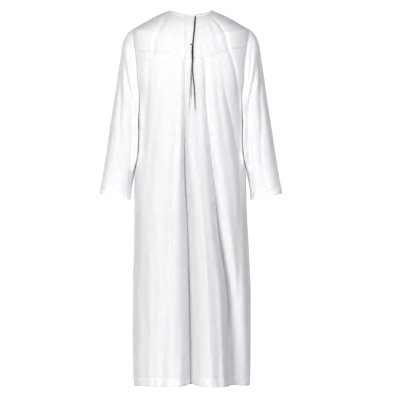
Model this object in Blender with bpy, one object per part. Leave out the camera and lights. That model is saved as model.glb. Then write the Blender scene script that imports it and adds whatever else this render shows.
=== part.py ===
"""Long white robe, in the form it has when worn, as separate sewn panels.

Metres, +Z up. The origin is in the middle of the neck opening, level with the points where the
shoulder seams meet the neck. The front faces -Y and the wearer's right is at -X.

The body is one smooth surface through horizontal rings, from the neck (station 0) to the hem.
Each panel is a wall on a stretch of that surface, so that neighbours meet at their seams.
A point is named by its angle round the body, 0 at the front and 180 at the back, and by its
station, which is the way down the side from the neck.
"""
import math

import bmesh
import bpy
import numpy as np

MM = 0.001

# Cloth and seams
CLOTH = 1.6 * MM
HEM_CLOTH = 2.8 * MM
SEAM_GAP = 0.4 * MM
PROBE = 0.5 * MM

# Places down the body, as stations
NECK_EDGE = 0.0
BAND_DEPTH = 10 * MM
SHOULDER_POINT = 160 * MM
ARMPIT = 490 * MM
HEM = 1536 * MM
HEM_TURN = 36 * MM
ARMHOLE_DEPTH = 70 * MM
ARMHOLE_ROUND = 0.5

# Front opening, across the body
OPENING_LEFT = -18 * MM
OPENING_RIGHT = 43.5 * MM
OPENING_END = 280 * MM
SLIT_X = 11 * MM
SLIT_GAP = 1.2 * MM

# Sleeve: shares of its length where it has left the armhole's curve and where its cuff turns
SLEEVE_CAP = 0.16
CUFF_START = 0.956
SLEEVE_POWER = 2.25
# Cosines of the turn round a sleeve between which its first ring takes on the body wall's lean
SHOULDER_LEAN = (0.85, 1.0)

# Hanging cord, its knot with the loop, and the tassel
CORD_RADIUS = 1.6 * MM
CORD_STEP = 7 * MM
LIE_GAP = 0.35 * MM
KNOT_RADIUS = 2.4 * MM
KNOT_X = 1.5 * MM
KNOT_STATION = 208 * MM
LOOP_RADIUS = 3.6 * MM
LOOP_THREAD = 0.55 * MM
HEAD_RADIUS = 2.5 * MM
HEAD_LENGTH = 44 * MM
HEAD_SIDES = 10
STRAND_RADIUS = 0.5 * MM
STRAND_LENGTH = 236 * MM
STRAND_SIDES = 3
STRAND_STEPS = 7
STRAND_ROOT = 1.5 * MM
STRAND_SPREAD = 2.6
STRAND_WAVE = 1.0 * MM
# Rings of strand roots under the head: how many strands, and the ring's radius
STRAND_RINGS = ((5, 1.0 * MM), (9, 1.9 * MM))

# Mesh density
FRONT_COLUMNS = 44
BACK_COLUMNS = 30
YOKE_COLUMNS = 11
PLACKET_COLUMNS = 3
BAND_COLUMNS = 40
# How strongly a deep fold draws the columns, and the fold depth at which it has half that pull
GATHER = 14
GATHER_DEPTH = 20 * MM
# Turns in which a station and an angle that depend on each other settle at a curved seam
SETTLE = 8
# Stations of the rows, in millimetres: pieces that meet at a seam share them there
SHOULDER_ROWS = (45, 85, 125)
ARMHOLE_ROWS = (160, 174, 200)
ARMHOLE_LOWER_ROWS = (282, 330, 382, 436, 470)
SIDE_ROWS = (490, 545, 600, 640, 680, 730, 800, 880, 975, 1080, 1190, 1300, 1410, 1500, 1502, 1536)


class Table:
    """Rows of named columns, read between its rows by a smooth curve that never overshoots."""

    def __init__(self, names, rows, unit=MM, runs_on=False):
        self.runs_on = runs_on
        data = np.array(rows, dtype=float) * unit
        self.key = data[:, 0]
        self.column = {}
        self.slope = {}
        for index, name in enumerate(names.split()):
            values = data[:, index]
            self.column[name] = values
            self.slope[name] = self.slopes(self.key, values)

    @staticmethod
    def slopes(key, values):
        step = np.diff(key)
        rise = np.diff(values) / step
        slope = np.zeros(len(key))
        slope[0] = rise[0]
        slope[-1] = rise[-1]
        for i in range(1, len(key) - 1):
            if rise[i - 1] * rise[i] > 0:
                first = 2 * step[i] + step[i - 1]
                second = step[i] + 2 * step[i - 1]
                slope[i] = (first + second) / (first / rise[i - 1] + second / rise[i])
        return slope

    def at(self, name, where):
        """The named column at one key or at an array of keys."""
        asked = where
        where = np.clip(where, self.key[0], self.key[-1])
        low = np.clip(np.searchsorted(self.key, where, side="right") - 1, 0, len(self.key) - 2)
        step = self.key[low + 1] - self.key[low]
        t = (where - self.key[low]) / step
        values = self.column[name]
        slope = self.slope[name]
        found = (
            values[low] * (1 + 2 * t) * (1 - t) ** 2
            + slope[low] * step * t * (1 - t) ** 2
            + values[low + 1] * t * t * (3 - 2 * t)
            - slope[low + 1] * step * t * t * (1 - t)
        )
        if self.runs_on:
            end_slope = np.where(asked < where, slope[0], slope[-1])
            found = found + end_slope * (asked - where)
        return found


# Rings of the body, in millimetres: heights at the side, front and back, half widths to the
# wearer's right (-X) and left (+X), and depths to the front and back of the shoulder line
BODY = Table("station side_z front_z back_z right left front back", [
    (0, 0, -30, -3, 80, 80, 70, 58),
    (55, -20.5, -54, -33, 128, 128, 87, 79),
    (110, -46, -82, -65, 176, 176, 101, 96),
    (150, -67.5, -103.8, -90.5, 212, 212, 109, 105.5),
    (165, -76, -112, -100, 225.5, 225.5, 112, 109),
    (200, -110, -136, -130, 229, 229, 119, 116),
    (260, -170, -174, -173, 229.5, 229.5, 127, 123),
    (356, -266, -266, -266, 221.5, 221.5, 133, 128),
    (418, -328, -328, -328, 205, 205, 134.5, 128),
    (475, -385, -385, -385, 197, 197, 135, 127),
    (540, -450, -450, -450, 196.5, 196.5, 135, 126),
    (634, -544, -544, -544, 198.5, 198.5, 135, 125),
    (680, -590, -590, -590, 207, 206, 135, 125),
    (710, -620, -620, -620, 212.5, 210.5, 135, 126),
    (780, -690, -690, -690, 217, 214, 136, 127),
    (862, -772, -772, -772, 218.5, 216.5, 137.5, 129),
    (1016, -926, -926, -926, 220, 224.8, 141, 133),
    (1210, -1120, -1120, -1120, 225.5, 232.5, 147, 139),
    (1402, -1312, -1312, -1312, 226.5, 232.5, 153, 146),
    (1500, -1412, -1410, -1410, 224, 232, 156, 149),
    (1536, -1449, -1446, -1446, 220.5, 228.5, 156, 149),
], runs_on=True)
POWER = Table("station power", [(0, 2.0), (165, 2.3), (475, 2.55), (700, 2.55), (1000, 2.35), (1536, 2.25)], 1.0)

# Seam under the chest yoke, in millimetres: its station across the body
YOKE_SEAM = Table("x station", [
    (-230, 241), (-165, 249), (-117, 253), (-69, 263), (-18, 280),
    (44, 280), (70, 274), (104, 262), (155, 247), (230, 235),
])
YOKE_END_X = 200 * MM

# Drape folds, in millimetres: where each trough runs, how deep it is, and how wide on each side
FOLD_COLUMNS = "station x depth right left"
FRONT_FOLDS = {
    "deep_centre": Table(FOLD_COLUMNS, [
        (262, -20, 0, 7, 8), (300, -20, 8, 7, 8), (475, -20, 18, 8, 9), (630, -23, 32, 10, 11),
        (740, -22, 46, 15, 16), (823, -18, 55, 18, 20), (939, -13, 64, 22, 24), (1210, -5, 74, 25, 27),
        (1402, -2, 78, 26, 29), (1536, 0, 78, 26, 30),
    ]),
    "long_left": Table(FOLD_COLUMNS, [
        (262, 50, 0, 8, 10), (300, 55, 7, 8, 10), (475, 64, 14, 10, 11), (630, 80, 26, 15, 13),
        (740, 91, 33, 17, 14), (823, 103, 38, 18, 14), (939, 119, 45, 20, 14), (1210, 166, 54, 28, 17),
        (1402, 179, 56, 34, 34), (1536, 189, 54, 36, 42),
    ]),
    "soft_right": Table(FOLD_COLUMNS, [
        (480, -52, 0, 14, 14), (630, -61, 4, 15, 15), (823, -74, 10, 17, 16), (1016, -84, 12, 18, 18),
        (1210, -94, 10, 18, 19), (1402, -107, 12, 20, 21), (1536, -118, 15, 22, 22),
    ]),
    "underarm_left": Table(FOLD_COLUMNS, [
        (250, 114, 0, 13, 11), (400, 133, 4, 13, 11), (475, 150, 6, 14, 11), (553, 167, 7, 14, 11),
        (630, 180, 6, 14, 11), (740, 190, 3, 14, 11), (860, 194, 0, 14, 11),
    ]),
    "edge_right": Table(FOLD_COLUMNS, [
        (820, -172, 0, 18, 18), (1016, -176, 3, 20, 20), (1210, -178, 4, 22, 22),
        (1402, -177, 6, 22, 22), (1536, -176, 8, 22, 22),
    ]),
}
FRONT_RIDGES = {
    "middle": Table(FOLD_COLUMNS, [
        (273, 11, 0, 16, 16), (340, 12, 4, 14, 15), (630, 14, 6, 14, 17), (823, 38, 8, 16, 20),
        (1016, 54, 11, 19, 23), (1210, 64, 13, 21, 25), (1536, 78, 15, 24, 30),
    ]),
}
BACK_FOLDS = {
    "back_right": Table(FOLD_COLUMNS, [
        (420, -58, 0, 20, 18), (630, -66, 9, 18, 17), (1016, -84, 24, 20, 18),
        (1402, -98, 34, 22, 20), (1536, -104, 36, 22, 20),
    ]),
    "back_middle": Table(FOLD_COLUMNS, [
        (480, 12, 0, 20, 22), (700, 18, 8, 20, 19), (1016, 27, 20, 20, 19),
        (1402, 36, 29, 22, 20), (1536, 40, 31, 22, 20),
    ]),
    "back_left": Table(FOLD_COLUMNS, [
        (380, 98, 0, 18, 20), (630, 112, 10, 17, 18), (1016, 132, 20, 18, 20),
        (1402, 150, 27, 20, 22), (1536, 156, 29, 21, 22),
    ]),
}

# Route of the hanging cord down the front, in millimetres, and of the tassel below it
CORD_ROUTE = Table("station x", [(5, 18.3), (60, 16.5), (120, 14.0), (175, 10.8), (219, 7.8)])
TASSEL_ROUTE = Table("station x", [
    (219, 7.8), (240, 7.0), (262, 6.6), (300, 8.0), (345, 8.4), (425, 9.4), (505, 10.6),
])
# Profile of the tassel's bound head: share of its length, share of its radius
HEAD_PROFILE = Table("down radius", [
    (0, 0.42), (0.06, 0.95), (0.14, 1.0), (0.2, 0.66), (0.4, 0.74), (0.8, 0.86), (0.94, 1.0), (1, 0.97),
], 1.0)
# Exponent of a fold's profile: 2 is a round trough, less is a sharper one
FOLD_POWER = 1.4
HEM_LIFT = 8 * MM
HEM_LIFT_FROM = 1380 * MM
# Degrees from a side seam where the folds start, and where they have their full depth
SIDE_FADE = (2, 26)

# Sleeve sections in millimetres along its length (0 to 1000): the outer edge, the inner edge,
# and half the depth from front to back
SLEEVE = Table("along outer_x outer_z inner_x inner_z depth forward", [
    (0, 222, -74, 199.5, -400, 71, 0),
    (40, 255.0, -94.5, 201.0, -409, 73, 0),
    (110, 262.5, -121, 201.5, -424, 73, 0),
    (200, 271.5, -184, 201.8, -446, 71, 0),
    (290, 280.0, -239, 200.8, -470, 69, 1),
    (390, 290.0, -308, 201.5, -502, 66, 3),
    (560, 309.3, -436, 205.0, -561, 61, 7),
    (720, 326.5, -555, 213.5, -614, 56, 11),
    (860, 338.5, -630, 224.5, -672, 52, 15),
    (1000, 353.4, -708.5, 232.5, -733.5, 49, 19),
], runs_on=True)
SLEEVE_ROWS = (0, 16, 40, 75, 120, 180, 245, 315, 390, 470, 555, 640, 725, 810, 890)
CUFF_ROWS = (CUFF_START / MM - 1, CUFF_START / MM + 1, 1000)
# Folds of a sleeve, in thousandths of its length and degrees round it from the outer edge
SLEEVE_FOLDS = (
    # start, end, angle at the start, angle at the end, depth in mm, width in degrees
    (60, 560, 52, 138, 7.0, 15),
    (180, 900, 42, 52, 4.0, 12),
    (420, 980, 118, 128, 4.0, 14),
    (80, 600, -60, -140, 6.0, 16),
    (300, 930, -50, -66, 4.0, 13),
)


def smooth(value, low, high):
    """0 below low, 1 above high, and a soft rise between."""
    t = np.clip((value - low) / (high - low), 0.0, 1.0)
    return t * t * (3 - 2 * t)


def half_width(side, station):
    """Half width of the body on one side, -1 for the wearer's right or 1 for the left."""
    return np.where(side < 0, BODY.at("right", station), BODY.at("left", station))


def angle_at_x(x, station):
    """Angle round the body of the point at x on the front."""
    power = POWER.at("power", station / MM)
    share = np.clip(np.abs(x) / half_width(np.sign(x), station), 0.0, 1.0)
    return np.arctan2(x, BODY.at("front", station) * (1 - share ** power) ** (1 / power))


def angle_at_depth(depth_y, side, station, face):
    """Angle round the body of the point a given depth from the shoulder line."""
    width = half_width(side, station)
    depth = BODY.at("front" if face > 0 else "back", station)
    power = POWER.at("power", station / MM)
    share = np.clip(depth_y / depth, 0.0, 1.0)
    x = width * (1 - share ** power) ** (1 / power)
    return np.arctan2(side * x, face * depth_y)


def ring_point(angle, station):
    """Point of the plain body surface, without its folds."""
    sine = np.sin(angle)
    cosine = np.cos(angle)
    power = POWER.at("power", station / MM)
    width = half_width(sine, station)
    depth = np.where(cosine > 0, BODY.at("front", station), BODY.at("back", station))
    radius = ((np.abs(sine) / width) ** power + (np.abs(cosine) / depth) ** power) ** (-1 / power)
    side_z = BODY.at("side_z", station)
    face_z = np.where(cosine > 0, BODY.at("front_z", station), BODY.at("back_z", station))
    z = side_z + (face_z - side_z) * np.abs(cosine) ** 1.5
    return np.stack([radius * sine, -radius * cosine, z], axis=-1)


def fold_shape(fold, x, station):
    """How much of one fold is felt at x, from 0 to 1."""
    offset = x - fold.at("x", station)
    width = np.where(offset < 0, fold.at("right", station), fold.at("left", station))
    return np.exp(-np.abs(offset / width) ** FOLD_POWER)


def fold_depth(angle, station, point):
    """How far the cloth lies inside the plain surface because of its folds."""
    x = point[..., 0]
    front = np.cos(angle) > 0
    depth = np.zeros_like(x)
    for fold in FRONT_FOLDS.values():
        depth = depth + np.where(front, fold.at("depth", station) * fold_shape(fold, x, station), 0)
    for fold in FRONT_RIDGES.values():
        depth = depth - np.where(front, fold.at("depth", station) * fold_shape(fold, x, station), 0)
    for fold in BACK_FOLDS.values():
        depth = depth + np.where(front, 0, fold.at("depth", station) * fold_shape(fold, x, station))
    turned = np.degrees(np.arctan2(np.sin(angle), np.cos(angle)))
    return depth * smooth(np.abs(np.abs(turned) - 90), *SIDE_FADE)


def unit(vectors):
    """The same directions at length 1."""
    return vectors / np.linalg.norm(vectors, axis=-1, keepdims=True)


def normals(surface, first, second):
    """Unit normals of a surface, from small steps along its two directions."""
    along_first = surface(first + PROBE, second) - surface(first - PROBE, second)
    along_second = surface(first, second + PROBE) - surface(first, second - PROBE)
    return unit(np.cross(along_first, along_second))


def body_point(angle, station):
    """Point of the outside of the cloth, with its folds."""
    point = ring_point(angle, station)
    outward = -normals(ring_point, angle, station)
    depth = fold_depth(angle, station, point)
    point = point - outward * depth[..., None]
    trough = FRONT_FOLDS["deep_centre"]
    lift = HEM_LIFT * smooth(station, HEM_LIFT_FROM, HEM) * fold_shape(trough, point[..., 0], station)
    point[..., 2] += np.where(np.cos(angle) > 0, lift, 0)
    return point


def armhole_depth(station):
    """Half the depth of the armhole at a station, or the seam gap where there is none."""
    share = np.clip((station - SHOULDER_POINT) / (ARMPIT - SHOULDER_POINT), 0.0, 1.0)
    return np.maximum(ARMHOLE_DEPTH * np.sin(math.pi * share) ** ARMHOLE_ROUND, SEAM_GAP / 2)


def edge_angle(side, station, face):
    """Angle of the panel's own edge: shoulder seam, armhole or side seam."""
    return angle_at_depth(armhole_depth(station), side, station, face)


def seam_end_station(side):
    """Station where the yoke seam runs into the armhole of one side."""
    return float(YOKE_SEAM.at("station", side * YOKE_END_X))


def cloth_thickness(station):
    """Single cloth, or the doubled cloth of the turned hem."""
    return np.where(station > HEM - HEM_TURN + PROBE, HEM_CLOTH, CLOTH)


def link(obj):
    """Puts an object in the robe's own collection."""
    ROBE.objects.link(obj)
    return obj


def finish(name, rgb, roughness):
    """Plain Principled finish of one piece."""
    material = bpy.data.materials.new(name)
    material.use_nodes = True
    shader = material.node_tree.nodes["Principled BSDF"]
    shader.inputs["Base Color"].default_value = (*rgb, 1.0)
    shader.inputs["Roughness"].default_value = roughness
    shader.inputs["Metallic"].default_value = 0.0
    return material


def mesh_object(name, points, faces, material):
    """Object from points and faces, with its faces turned outwards."""
    mesh = bpy.data.meshes.new(name)
    mesh.from_pydata([tuple(point) for point in points], [], faces)
    shaped = bmesh.new()
    shaped.from_mesh(mesh)
    bmesh.ops.recalc_face_normals(shaped, faces=shaped.faces)
    if shaped.calc_volume(signed=True) < 0:
        bmesh.ops.reverse_faces(shaped, faces=shaped.faces)
    bmesh.ops.triangulate(shaped, faces=shaped.faces)
    shaped.to_mesh(mesh)
    shaped.free()
    mesh.shade_smooth()
    mesh.set_sharp_from_angle(angle=math.radians(50))
    mesh.materials.append(material)
    return link(bpy.data.objects.new(name, mesh))


def wall(name, outer, inner, material, round_closed=False):
    """Closed wall between two grids of points, which may close on themselves across."""
    rows, columns = outer.shape[:2]
    points = np.concatenate([outer.reshape(-1, 3), inner.reshape(-1, 3)])
    inside = rows * columns
    faces = []
    spans = columns if round_closed else columns - 1
    for row in range(rows - 1):
        for column in range(spans):
            following = (column + 1) % columns
            a = row * columns + column
            b = row * columns + following
            c = (row + 1) * columns + following
            d = (row + 1) * columns + column
            faces.append((a, b, c, d))
            faces.append((inside + d, inside + c, inside + b, inside + a))
    for column in range(spans):
        following = (column + 1) % columns
        last = (rows - 1) * columns
        faces.append((column, inside + column, inside + following, following))
        faces.append((last + column, last + following, inside + last + following, inside + last + column))
    if not round_closed:
        for row in range(rows - 1):
            for column in (0, columns - 1):
                a = row * columns + column
                d = (row + 1) * columns + column
                faces.append((a, d, inside + d, inside + a))
    return mesh_object(name, points, faces, material)


def panel(name, angles, stations, material, round_closed=False):
    """Wall on a grid of angles and stations of the body."""
    outer = body_point(angles, stations)
    outward = -normals(body_point, angles, stations)
    inner = outer - outward * cloth_thickness(stations)[..., None]
    return wall(name, outer, inner, material, round_closed)


def gathered_columns(low, high, count, station, folds):
    """Angles between two edges of one ring, closer together at the folds' flanks."""
    fine = np.linspace(low, high, 900)
    x = ring_point(fine, np.full_like(fine, station))[:, 0]
    density = np.full_like(fine, 1.0)
    for fold in folds:
        depth = float(fold.at("depth", station))
        width = 0.5 * float(fold.at("right", station) + fold.at("left", station))
        pull = GATHER * depth / (depth + GATHER_DEPTH)
        density += pull * np.exp(-((x - float(fold.at("x", station))) / (1.5 * width)) ** 2)
    run = np.concatenate([[0.0], np.cumsum(0.5 * (density[1:] + density[:-1]))])
    return np.interp(np.linspace(0, run[-1], count + 1), run, fine)


def front_body(material):
    """Front panel, from the yoke seam and the armholes down to the hem."""
    folds = list(FRONT_FOLDS.values()) + list(FRONT_RIDGES.values())
    seam_end = seam_end_station(-1) + SEAM_GAP / 2
    levels = [seam_end] + [row * MM for row in ARMHOLE_LOWER_ROWS]
    angles = []
    stations = []
    for level in levels:
        share = (level - seam_end) / (ARMPIT - seam_end)
        line = gathered_columns(-math.pi / 2, math.pi / 2, FRONT_COLUMNS, level, folds)
        shares = (line - line[0]) / (line[-1] - line[0])
        station = np.full(FRONT_COLUMNS + 1, level)
        for _ in range(SETTLE):
            right = edge_angle(-1, station, 1)
            angle = right + (edge_angle(1, station, 1) - right) * shares
            x = ring_point(angle, station)[..., 0]
            seam = YOKE_SEAM.at("station", x) + SEAM_GAP / 2
            station = seam + (ARMPIT - seam) * share
        angles.append(angle)
        stations.append(station)
    for level in (row * MM for row in SIDE_ROWS):
        right = float(edge_angle(-1, level, 1))
        left = float(edge_angle(1, level, 1))
        angles.append(gathered_columns(right, left, FRONT_COLUMNS, level, folds))
        stations.append(np.full(FRONT_COLUMNS + 1, level))
    return panel("front_body", np.array(angles), np.array(stations), material)


def back_body(material):
    """Back panel, from the neck and the shoulder seams down to the hem."""
    seam_end = seam_end_station(-1)
    rows = SHOULDER_ROWS + ARMHOLE_ROWS + (seam_end / MM,) + ARMHOLE_LOWER_ROWS + SIDE_ROWS
    levels = [BAND_DEPTH + SEAM_GAP] + [row * MM for row in rows]
    angles = []
    stations = []
    for level in levels:
        left = float(edge_angle(1, level, -1))
        right = float(edge_angle(-1, level, -1)) + 2 * math.pi
        angles.append(gathered_columns(left, right, BACK_COLUMNS, level, BACK_FOLDS.values()))
        stations.append(np.full(BACK_COLUMNS + 1, level))
    return panel("back_body", np.array(angles), np.array(stations), material)


def yoke(name, side, material):
    """Chest yoke of one side, from the neck and the shoulder to the seam across the chest."""
    opening = OPENING_LEFT - SEAM_GAP / 2 if side < 0 else OPENING_RIGHT + SEAM_GAP / 2
    top = BAND_DEPTH + SEAM_GAP
    seam_end = seam_end_station(side) - SEAM_GAP / 2
    levels = [top] + [row * MM for row in SHOULDER_ROWS + ARMHOLE_ROWS] + [seam_end]
    shares = np.linspace(0, 1, YOKE_COLUMNS + 1)
    angles = []
    stations = []
    for level in levels:
        share = (level - top) / (seam_end - top)
        station = np.full(YOKE_COLUMNS + 1, level)
        for _ in range(SETTLE):
            outside = edge_angle(side, station, 1)
            angle = outside + (angle_at_x(opening, station) - outside) * shares
            x = ring_point(angle, station)[..., 0]
            seam = YOKE_SEAM.at("station", x) - SEAM_GAP / 2
            station = top + (seam - top) * share
        angles.append(angle)
        stations.append(station)
    return panel(name, np.array(angles), np.array(stations), material)


def placket(name, low_x, high_x, material):
    """One half of the band that edges the front opening."""
    shares = np.linspace(0, 1, PLACKET_COLUMNS + 1)
    angles = []
    stations = []
    for level in np.linspace(BAND_DEPTH + SEAM_GAP, OPENING_END - SEAM_GAP / 2, 9):
        low = float(angle_at_x(low_x, level))
        high = float(angle_at_x(high_x, level))
        angles.append(low + (high - low) * shares)
        stations.append(np.full(PLACKET_COLUMNS + 1, level))
    return panel(name, np.array(angles), np.array(stations), material)


def neckband(material):
    """Narrow binding round the neck, closed on itself."""
    turn = np.linspace(-math.pi, math.pi, BAND_COLUMNS, endpoint=False)
    levels = np.array([NECK_EDGE, BAND_DEPTH / 2, BAND_DEPTH])
    angles = np.tile(turn, (len(levels), 1))
    stations = np.repeat(levels[:, None], BAND_COLUMNS, axis=1)
    outer = body_point(angles, stations)
    outward = -normals(body_point, angles, np.maximum(stations, PROBE))
    return wall("neckband", outer, outer - outward * HEM_CLOTH, material, round_closed=True)


def armhole_place(side, turn):
    """Angle and station, on the body, of the armhole's edge at a turn round the sleeve."""
    station = SHOULDER_POINT + (ARMPIT - SHOULDER_POINT) * (1 - np.cos(turn)) / 2
    ahead = edge_angle(side, station, 1)
    behind = edge_angle(side, station, -1)
    return np.where(np.sin(turn) >= 0, ahead, behind), station


def sleeve_point(side):
    """Surface of one sleeve, over an angle round it and a way along it."""
    def section(turn, along):
        outer = np.stack([SLEEVE.at("outer_x", along), SLEEVE.at("outer_z", along)], axis=-1)
        inner = np.stack([SLEEVE.at("inner_x", along), SLEEVE.at("inner_z", along)], axis=-1)
        middle = 0.5 * (outer + inner)
        reach = 0.5 * (outer - inner)
        cosine = np.cos(turn)
        sine = np.sin(turn)
        radius = (np.abs(cosine) ** SLEEVE_POWER + np.abs(sine) ** SLEEVE_POWER) ** (-1 / SLEEVE_POWER)
        flat = middle + reach * (radius * cosine)[..., None]
        y = -SLEEVE.at("forward", along) - SLEEVE.at("depth", along) * radius * sine
        return np.stack([side * flat[..., 0], y, flat[..., 1]], axis=-1)

    def point(turn, along):
        mixed = 1 - (1 - np.clip(along / SLEEVE_CAP, 0.0, 1.0)[..., None]) ** 2
        start = ring_point(*armhole_place(side, turn))
        hung = section(turn, along)
        return start + (hung - start) * mixed

    return point


def sleeve_fold(turn, along):
    """How far the sleeve's cloth lies inside its plain surface."""
    degrees = np.degrees(np.arctan2(np.sin(turn), np.cos(turn)))
    depth = np.zeros_like(turn)
    for start, end, first, last, deep, wide in SLEEVE_FOLDS:
        share = np.clip((along / MM - start) / (end - start), 0.0, 1.0)
        centre = first + (last - first) * share
        fade = np.sin(math.pi * share) ** 0.7
        depth = depth + deep * MM * fade * np.exp(-((degrees - centre) / wide) ** 2)
    return depth


def sleeve(name, side, material):
    """One sleeve as a tube, from the armhole to the open cuff."""
    plain = sleeve_point(side)

    def folded(turn, along):
        point = plain(turn, along)
        outward = side * normals(plain, turn, along)
        return point - outward * sleeve_fold(turn, along)[..., None]

    seam_end = seam_end_station(side) / MM
    rows = np.array(ARMHOLE_ROWS + (seam_end,) + ARMHOLE_LOWER_ROWS + (ARMPIT / MM,)) * MM
    share = (rows - SHOULDER_POINT) / (ARMPIT - SHOULDER_POINT)
    ahead = np.arccos(np.clip(1 - 2 * share, -1, 1))
    turn = np.concatenate([ahead, 2 * math.pi - ahead[-2:0:-1]])
    along = np.array(SLEEVE_ROWS + CUFF_ROWS) * MM
    turns, ways = np.meshgrid(turn, along)
    outer = folded(turns, ways)
    outward = side * normals(folded, turns, np.clip(ways, 2 * PROBE, 1 - 2 * PROBE))
    # The first ring stands off the armhole's edge by the seam gap, and over the shoulder its wall
    # leans as the body's own wall does
    edge = unit(np.roll(outer[0], -1, axis=0) - np.roll(outer[0], 1, axis=0))
    away = outer[1] - outer[0]
    away -= np.sum(away * edge, axis=-1, keepdims=True) * edge
    outer[0] += SEAM_GAP * unit(away)
    body_outward = -normals(body_point, *armhole_place(side, turn))
    over_shoulder = smooth(np.cos(turn), *SHOULDER_LEAN)[:, None]
    outward[0] = unit(outward[0] + (body_outward - outward[0]) * over_shoulder)
    thick = np.where(ways > CUFF_START, HEM_CLOTH, CLOTH)[..., None]
    return wall(name, outer, outer - outward * thick, material, round_closed=True)


def lying_frame(x, station, lift):
    """Point a given way in front of the cloth, with its outward and sideways directions."""
    angle = np.array([float(angle_at_x(x, station))])
    at = np.array([float(station)])
    outward = -normals(body_point, angle, at)[0]
    sideways = unit(np.cross(outward, (0.0, 0.0, -1.0)))
    return body_point(angle, at)[0] + outward * lift, outward, sideways


def hanging_cord(material):
    """The cord from the neck edge down to the tassel, as one smooth tube."""
    first, last = CORD_ROUTE.key[0], CORD_ROUTE.key[-1]
    count = int((last - first) / CORD_STEP) + 1
    curve = bpy.data.curves.new("tassel_cord", "CURVE")
    curve.dimensions = "3D"
    spline = curve.splines.new("POLY")
    spline.points.add(count - 1)
    for index, station in enumerate(np.linspace(first, last, count)):
        x = float(CORD_ROUTE.at("x", station))
        point = lying_frame(x, station, CORD_RADIUS + LIE_GAP)[0]
        spline.points[index].co = (*point, 1.0)
    curve.bevel_depth = CORD_RADIUS
    curve.bevel_resolution = 2
    curve.use_fill_caps = True
    curve.materials.append(material)
    link(bpy.data.objects.new("tassel_cord", curve))


def knot_and_loop(knot_material, loop_material):
    """Small knot on the opening band, inside the thread loop that goes round it."""
    knot = bmesh.new()
    bmesh.ops.create_uvsphere(knot, u_segments=12, v_segments=8, radius=KNOT_RADIUS)
    mesh = bpy.data.meshes.new("tassel_knot")
    knot.to_mesh(mesh)
    knot.free()
    mesh.shade_smooth()
    mesh.materials.append(knot_material)
    obj = link(bpy.data.objects.new("tassel_knot", mesh))
    obj.location = lying_frame(KNOT_X, KNOT_STATION, KNOT_RADIUS + LIE_GAP)[0]

    around = 20
    section = 6
    centre, outward, sideways = lying_frame(KNOT_X, KNOT_STATION, LOOP_THREAD + LIE_GAP)
    upward = np.cross(outward, sideways)
    rings = []
    for turn in np.linspace(0, 2 * math.pi, around, endpoint=False):
        spoke = math.cos(turn) * sideways + math.sin(turn) * upward
        middle = centre + LOOP_RADIUS * spoke
        rings.append([
            middle + LOOP_THREAD * (math.cos(small) * spoke + math.sin(small) * outward)
            for small in np.linspace(0, 2 * math.pi, section, endpoint=False)
        ])
    faces = []
    for ring in range(around):
        for corner in range(section):
            after = (ring + 1) % around * section
            other = (corner + 1) % section
            faces.append((ring * section + corner, ring * section + other, after + other, after + corner))
    mesh_object("button_loop", np.array(rings).reshape(-1, 3), faces, loop_material)


def ring_tube(name, rings, material):
    """Closed tube through rings of points, with flat ends."""
    count = len(rings[0])
    faces = []
    for ring in range(len(rings) - 1):
        for corner in range(count):
            other = (corner + 1) % count
            faces.append((ring * count + corner, ring * count + other,
                          (ring + 1) * count + other, (ring + 1) * count + corner))
    faces.append(tuple(range(count)))
    faces.append(tuple((len(rings) - 1) * count + corner for corner in range(count)))
    return mesh_object(name, np.array(rings).reshape(-1, 3), faces, material)


def round_ring(centre, outward, sideways, radius, sides):
    """Points of a circle across the hanging direction."""
    turns = np.linspace(0, 2 * math.pi, sides, endpoint=False)
    return [centre + radius * (math.cos(turn) * sideways + math.sin(turn) * outward) for turn in turns]


def tassel(material):
    """Bound head with its loose threads, their roots fused into it."""
    top = CORD_ROUTE.key[-1] + LIE_GAP
    middle_lift = HEAD_RADIUS + LIE_GAP
    rings = []
    for share in HEAD_PROFILE.key:
        station = top + share * HEAD_LENGTH
        x = float(TASSEL_ROUTE.at("x", station))
        centre, outward, sideways = lying_frame(x, station, middle_lift)
        radius = HEAD_RADIUS * float(HEAD_PROFILE.at("radius", share))
        rings.append(round_ring(centre, outward, sideways, radius, HEAD_SIDES))
    head = ring_tube("tassel", rings, material)

    # Strand roots as sideways and outward offsets: one in the middle, then the rings about it
    roots = [(0.0, 0.0)]
    for amount, radius in STRAND_RINGS:
        for index in range(amount):
            turn = 2 * math.pi * (index + 0.5) / amount
            roots.append((radius * math.cos(turn), radius * math.sin(turn)))
    foot = top + HEAD_LENGTH
    for number, (aside, out) in enumerate(roots):
        length = STRAND_LENGTH * (0.84 + 0.16 * math.sin(1.0 + 2.4 * number) ** 2)
        rings = []
        for step in range(STRAND_STEPS + 1):
            share = step / STRAND_STEPS
            station = foot - STRAND_ROOT + share * length
            spread = 1 + STRAND_SPREAD * smooth(share, 0.0, 1.0)
            wave = STRAND_WAVE * math.sin(math.pi * share) * share
            x = float(TASSEL_ROUTE.at("x", station)) + aside * spread + wave
            centre, outward, sideways = lying_frame(x, station, middle_lift + 0.4 * MM + out)
            rings.append(round_ring(centre, outward, sideways, STRAND_RADIUS, STRAND_SIDES))
        strand = ring_tube("strand_%02d" % number, rings, material)
        CUTTERS.objects.link(strand)
        ROBE.objects.unlink(strand)
        strand.hide_render = True
        strand.display_type = "WIRE"
        joined = head.modifiers.new("strand_%02d" % number, "BOOLEAN")
        joined.operation = "UNION"
        joined.solver = "EXACT"
        joined.object = strand


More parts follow.
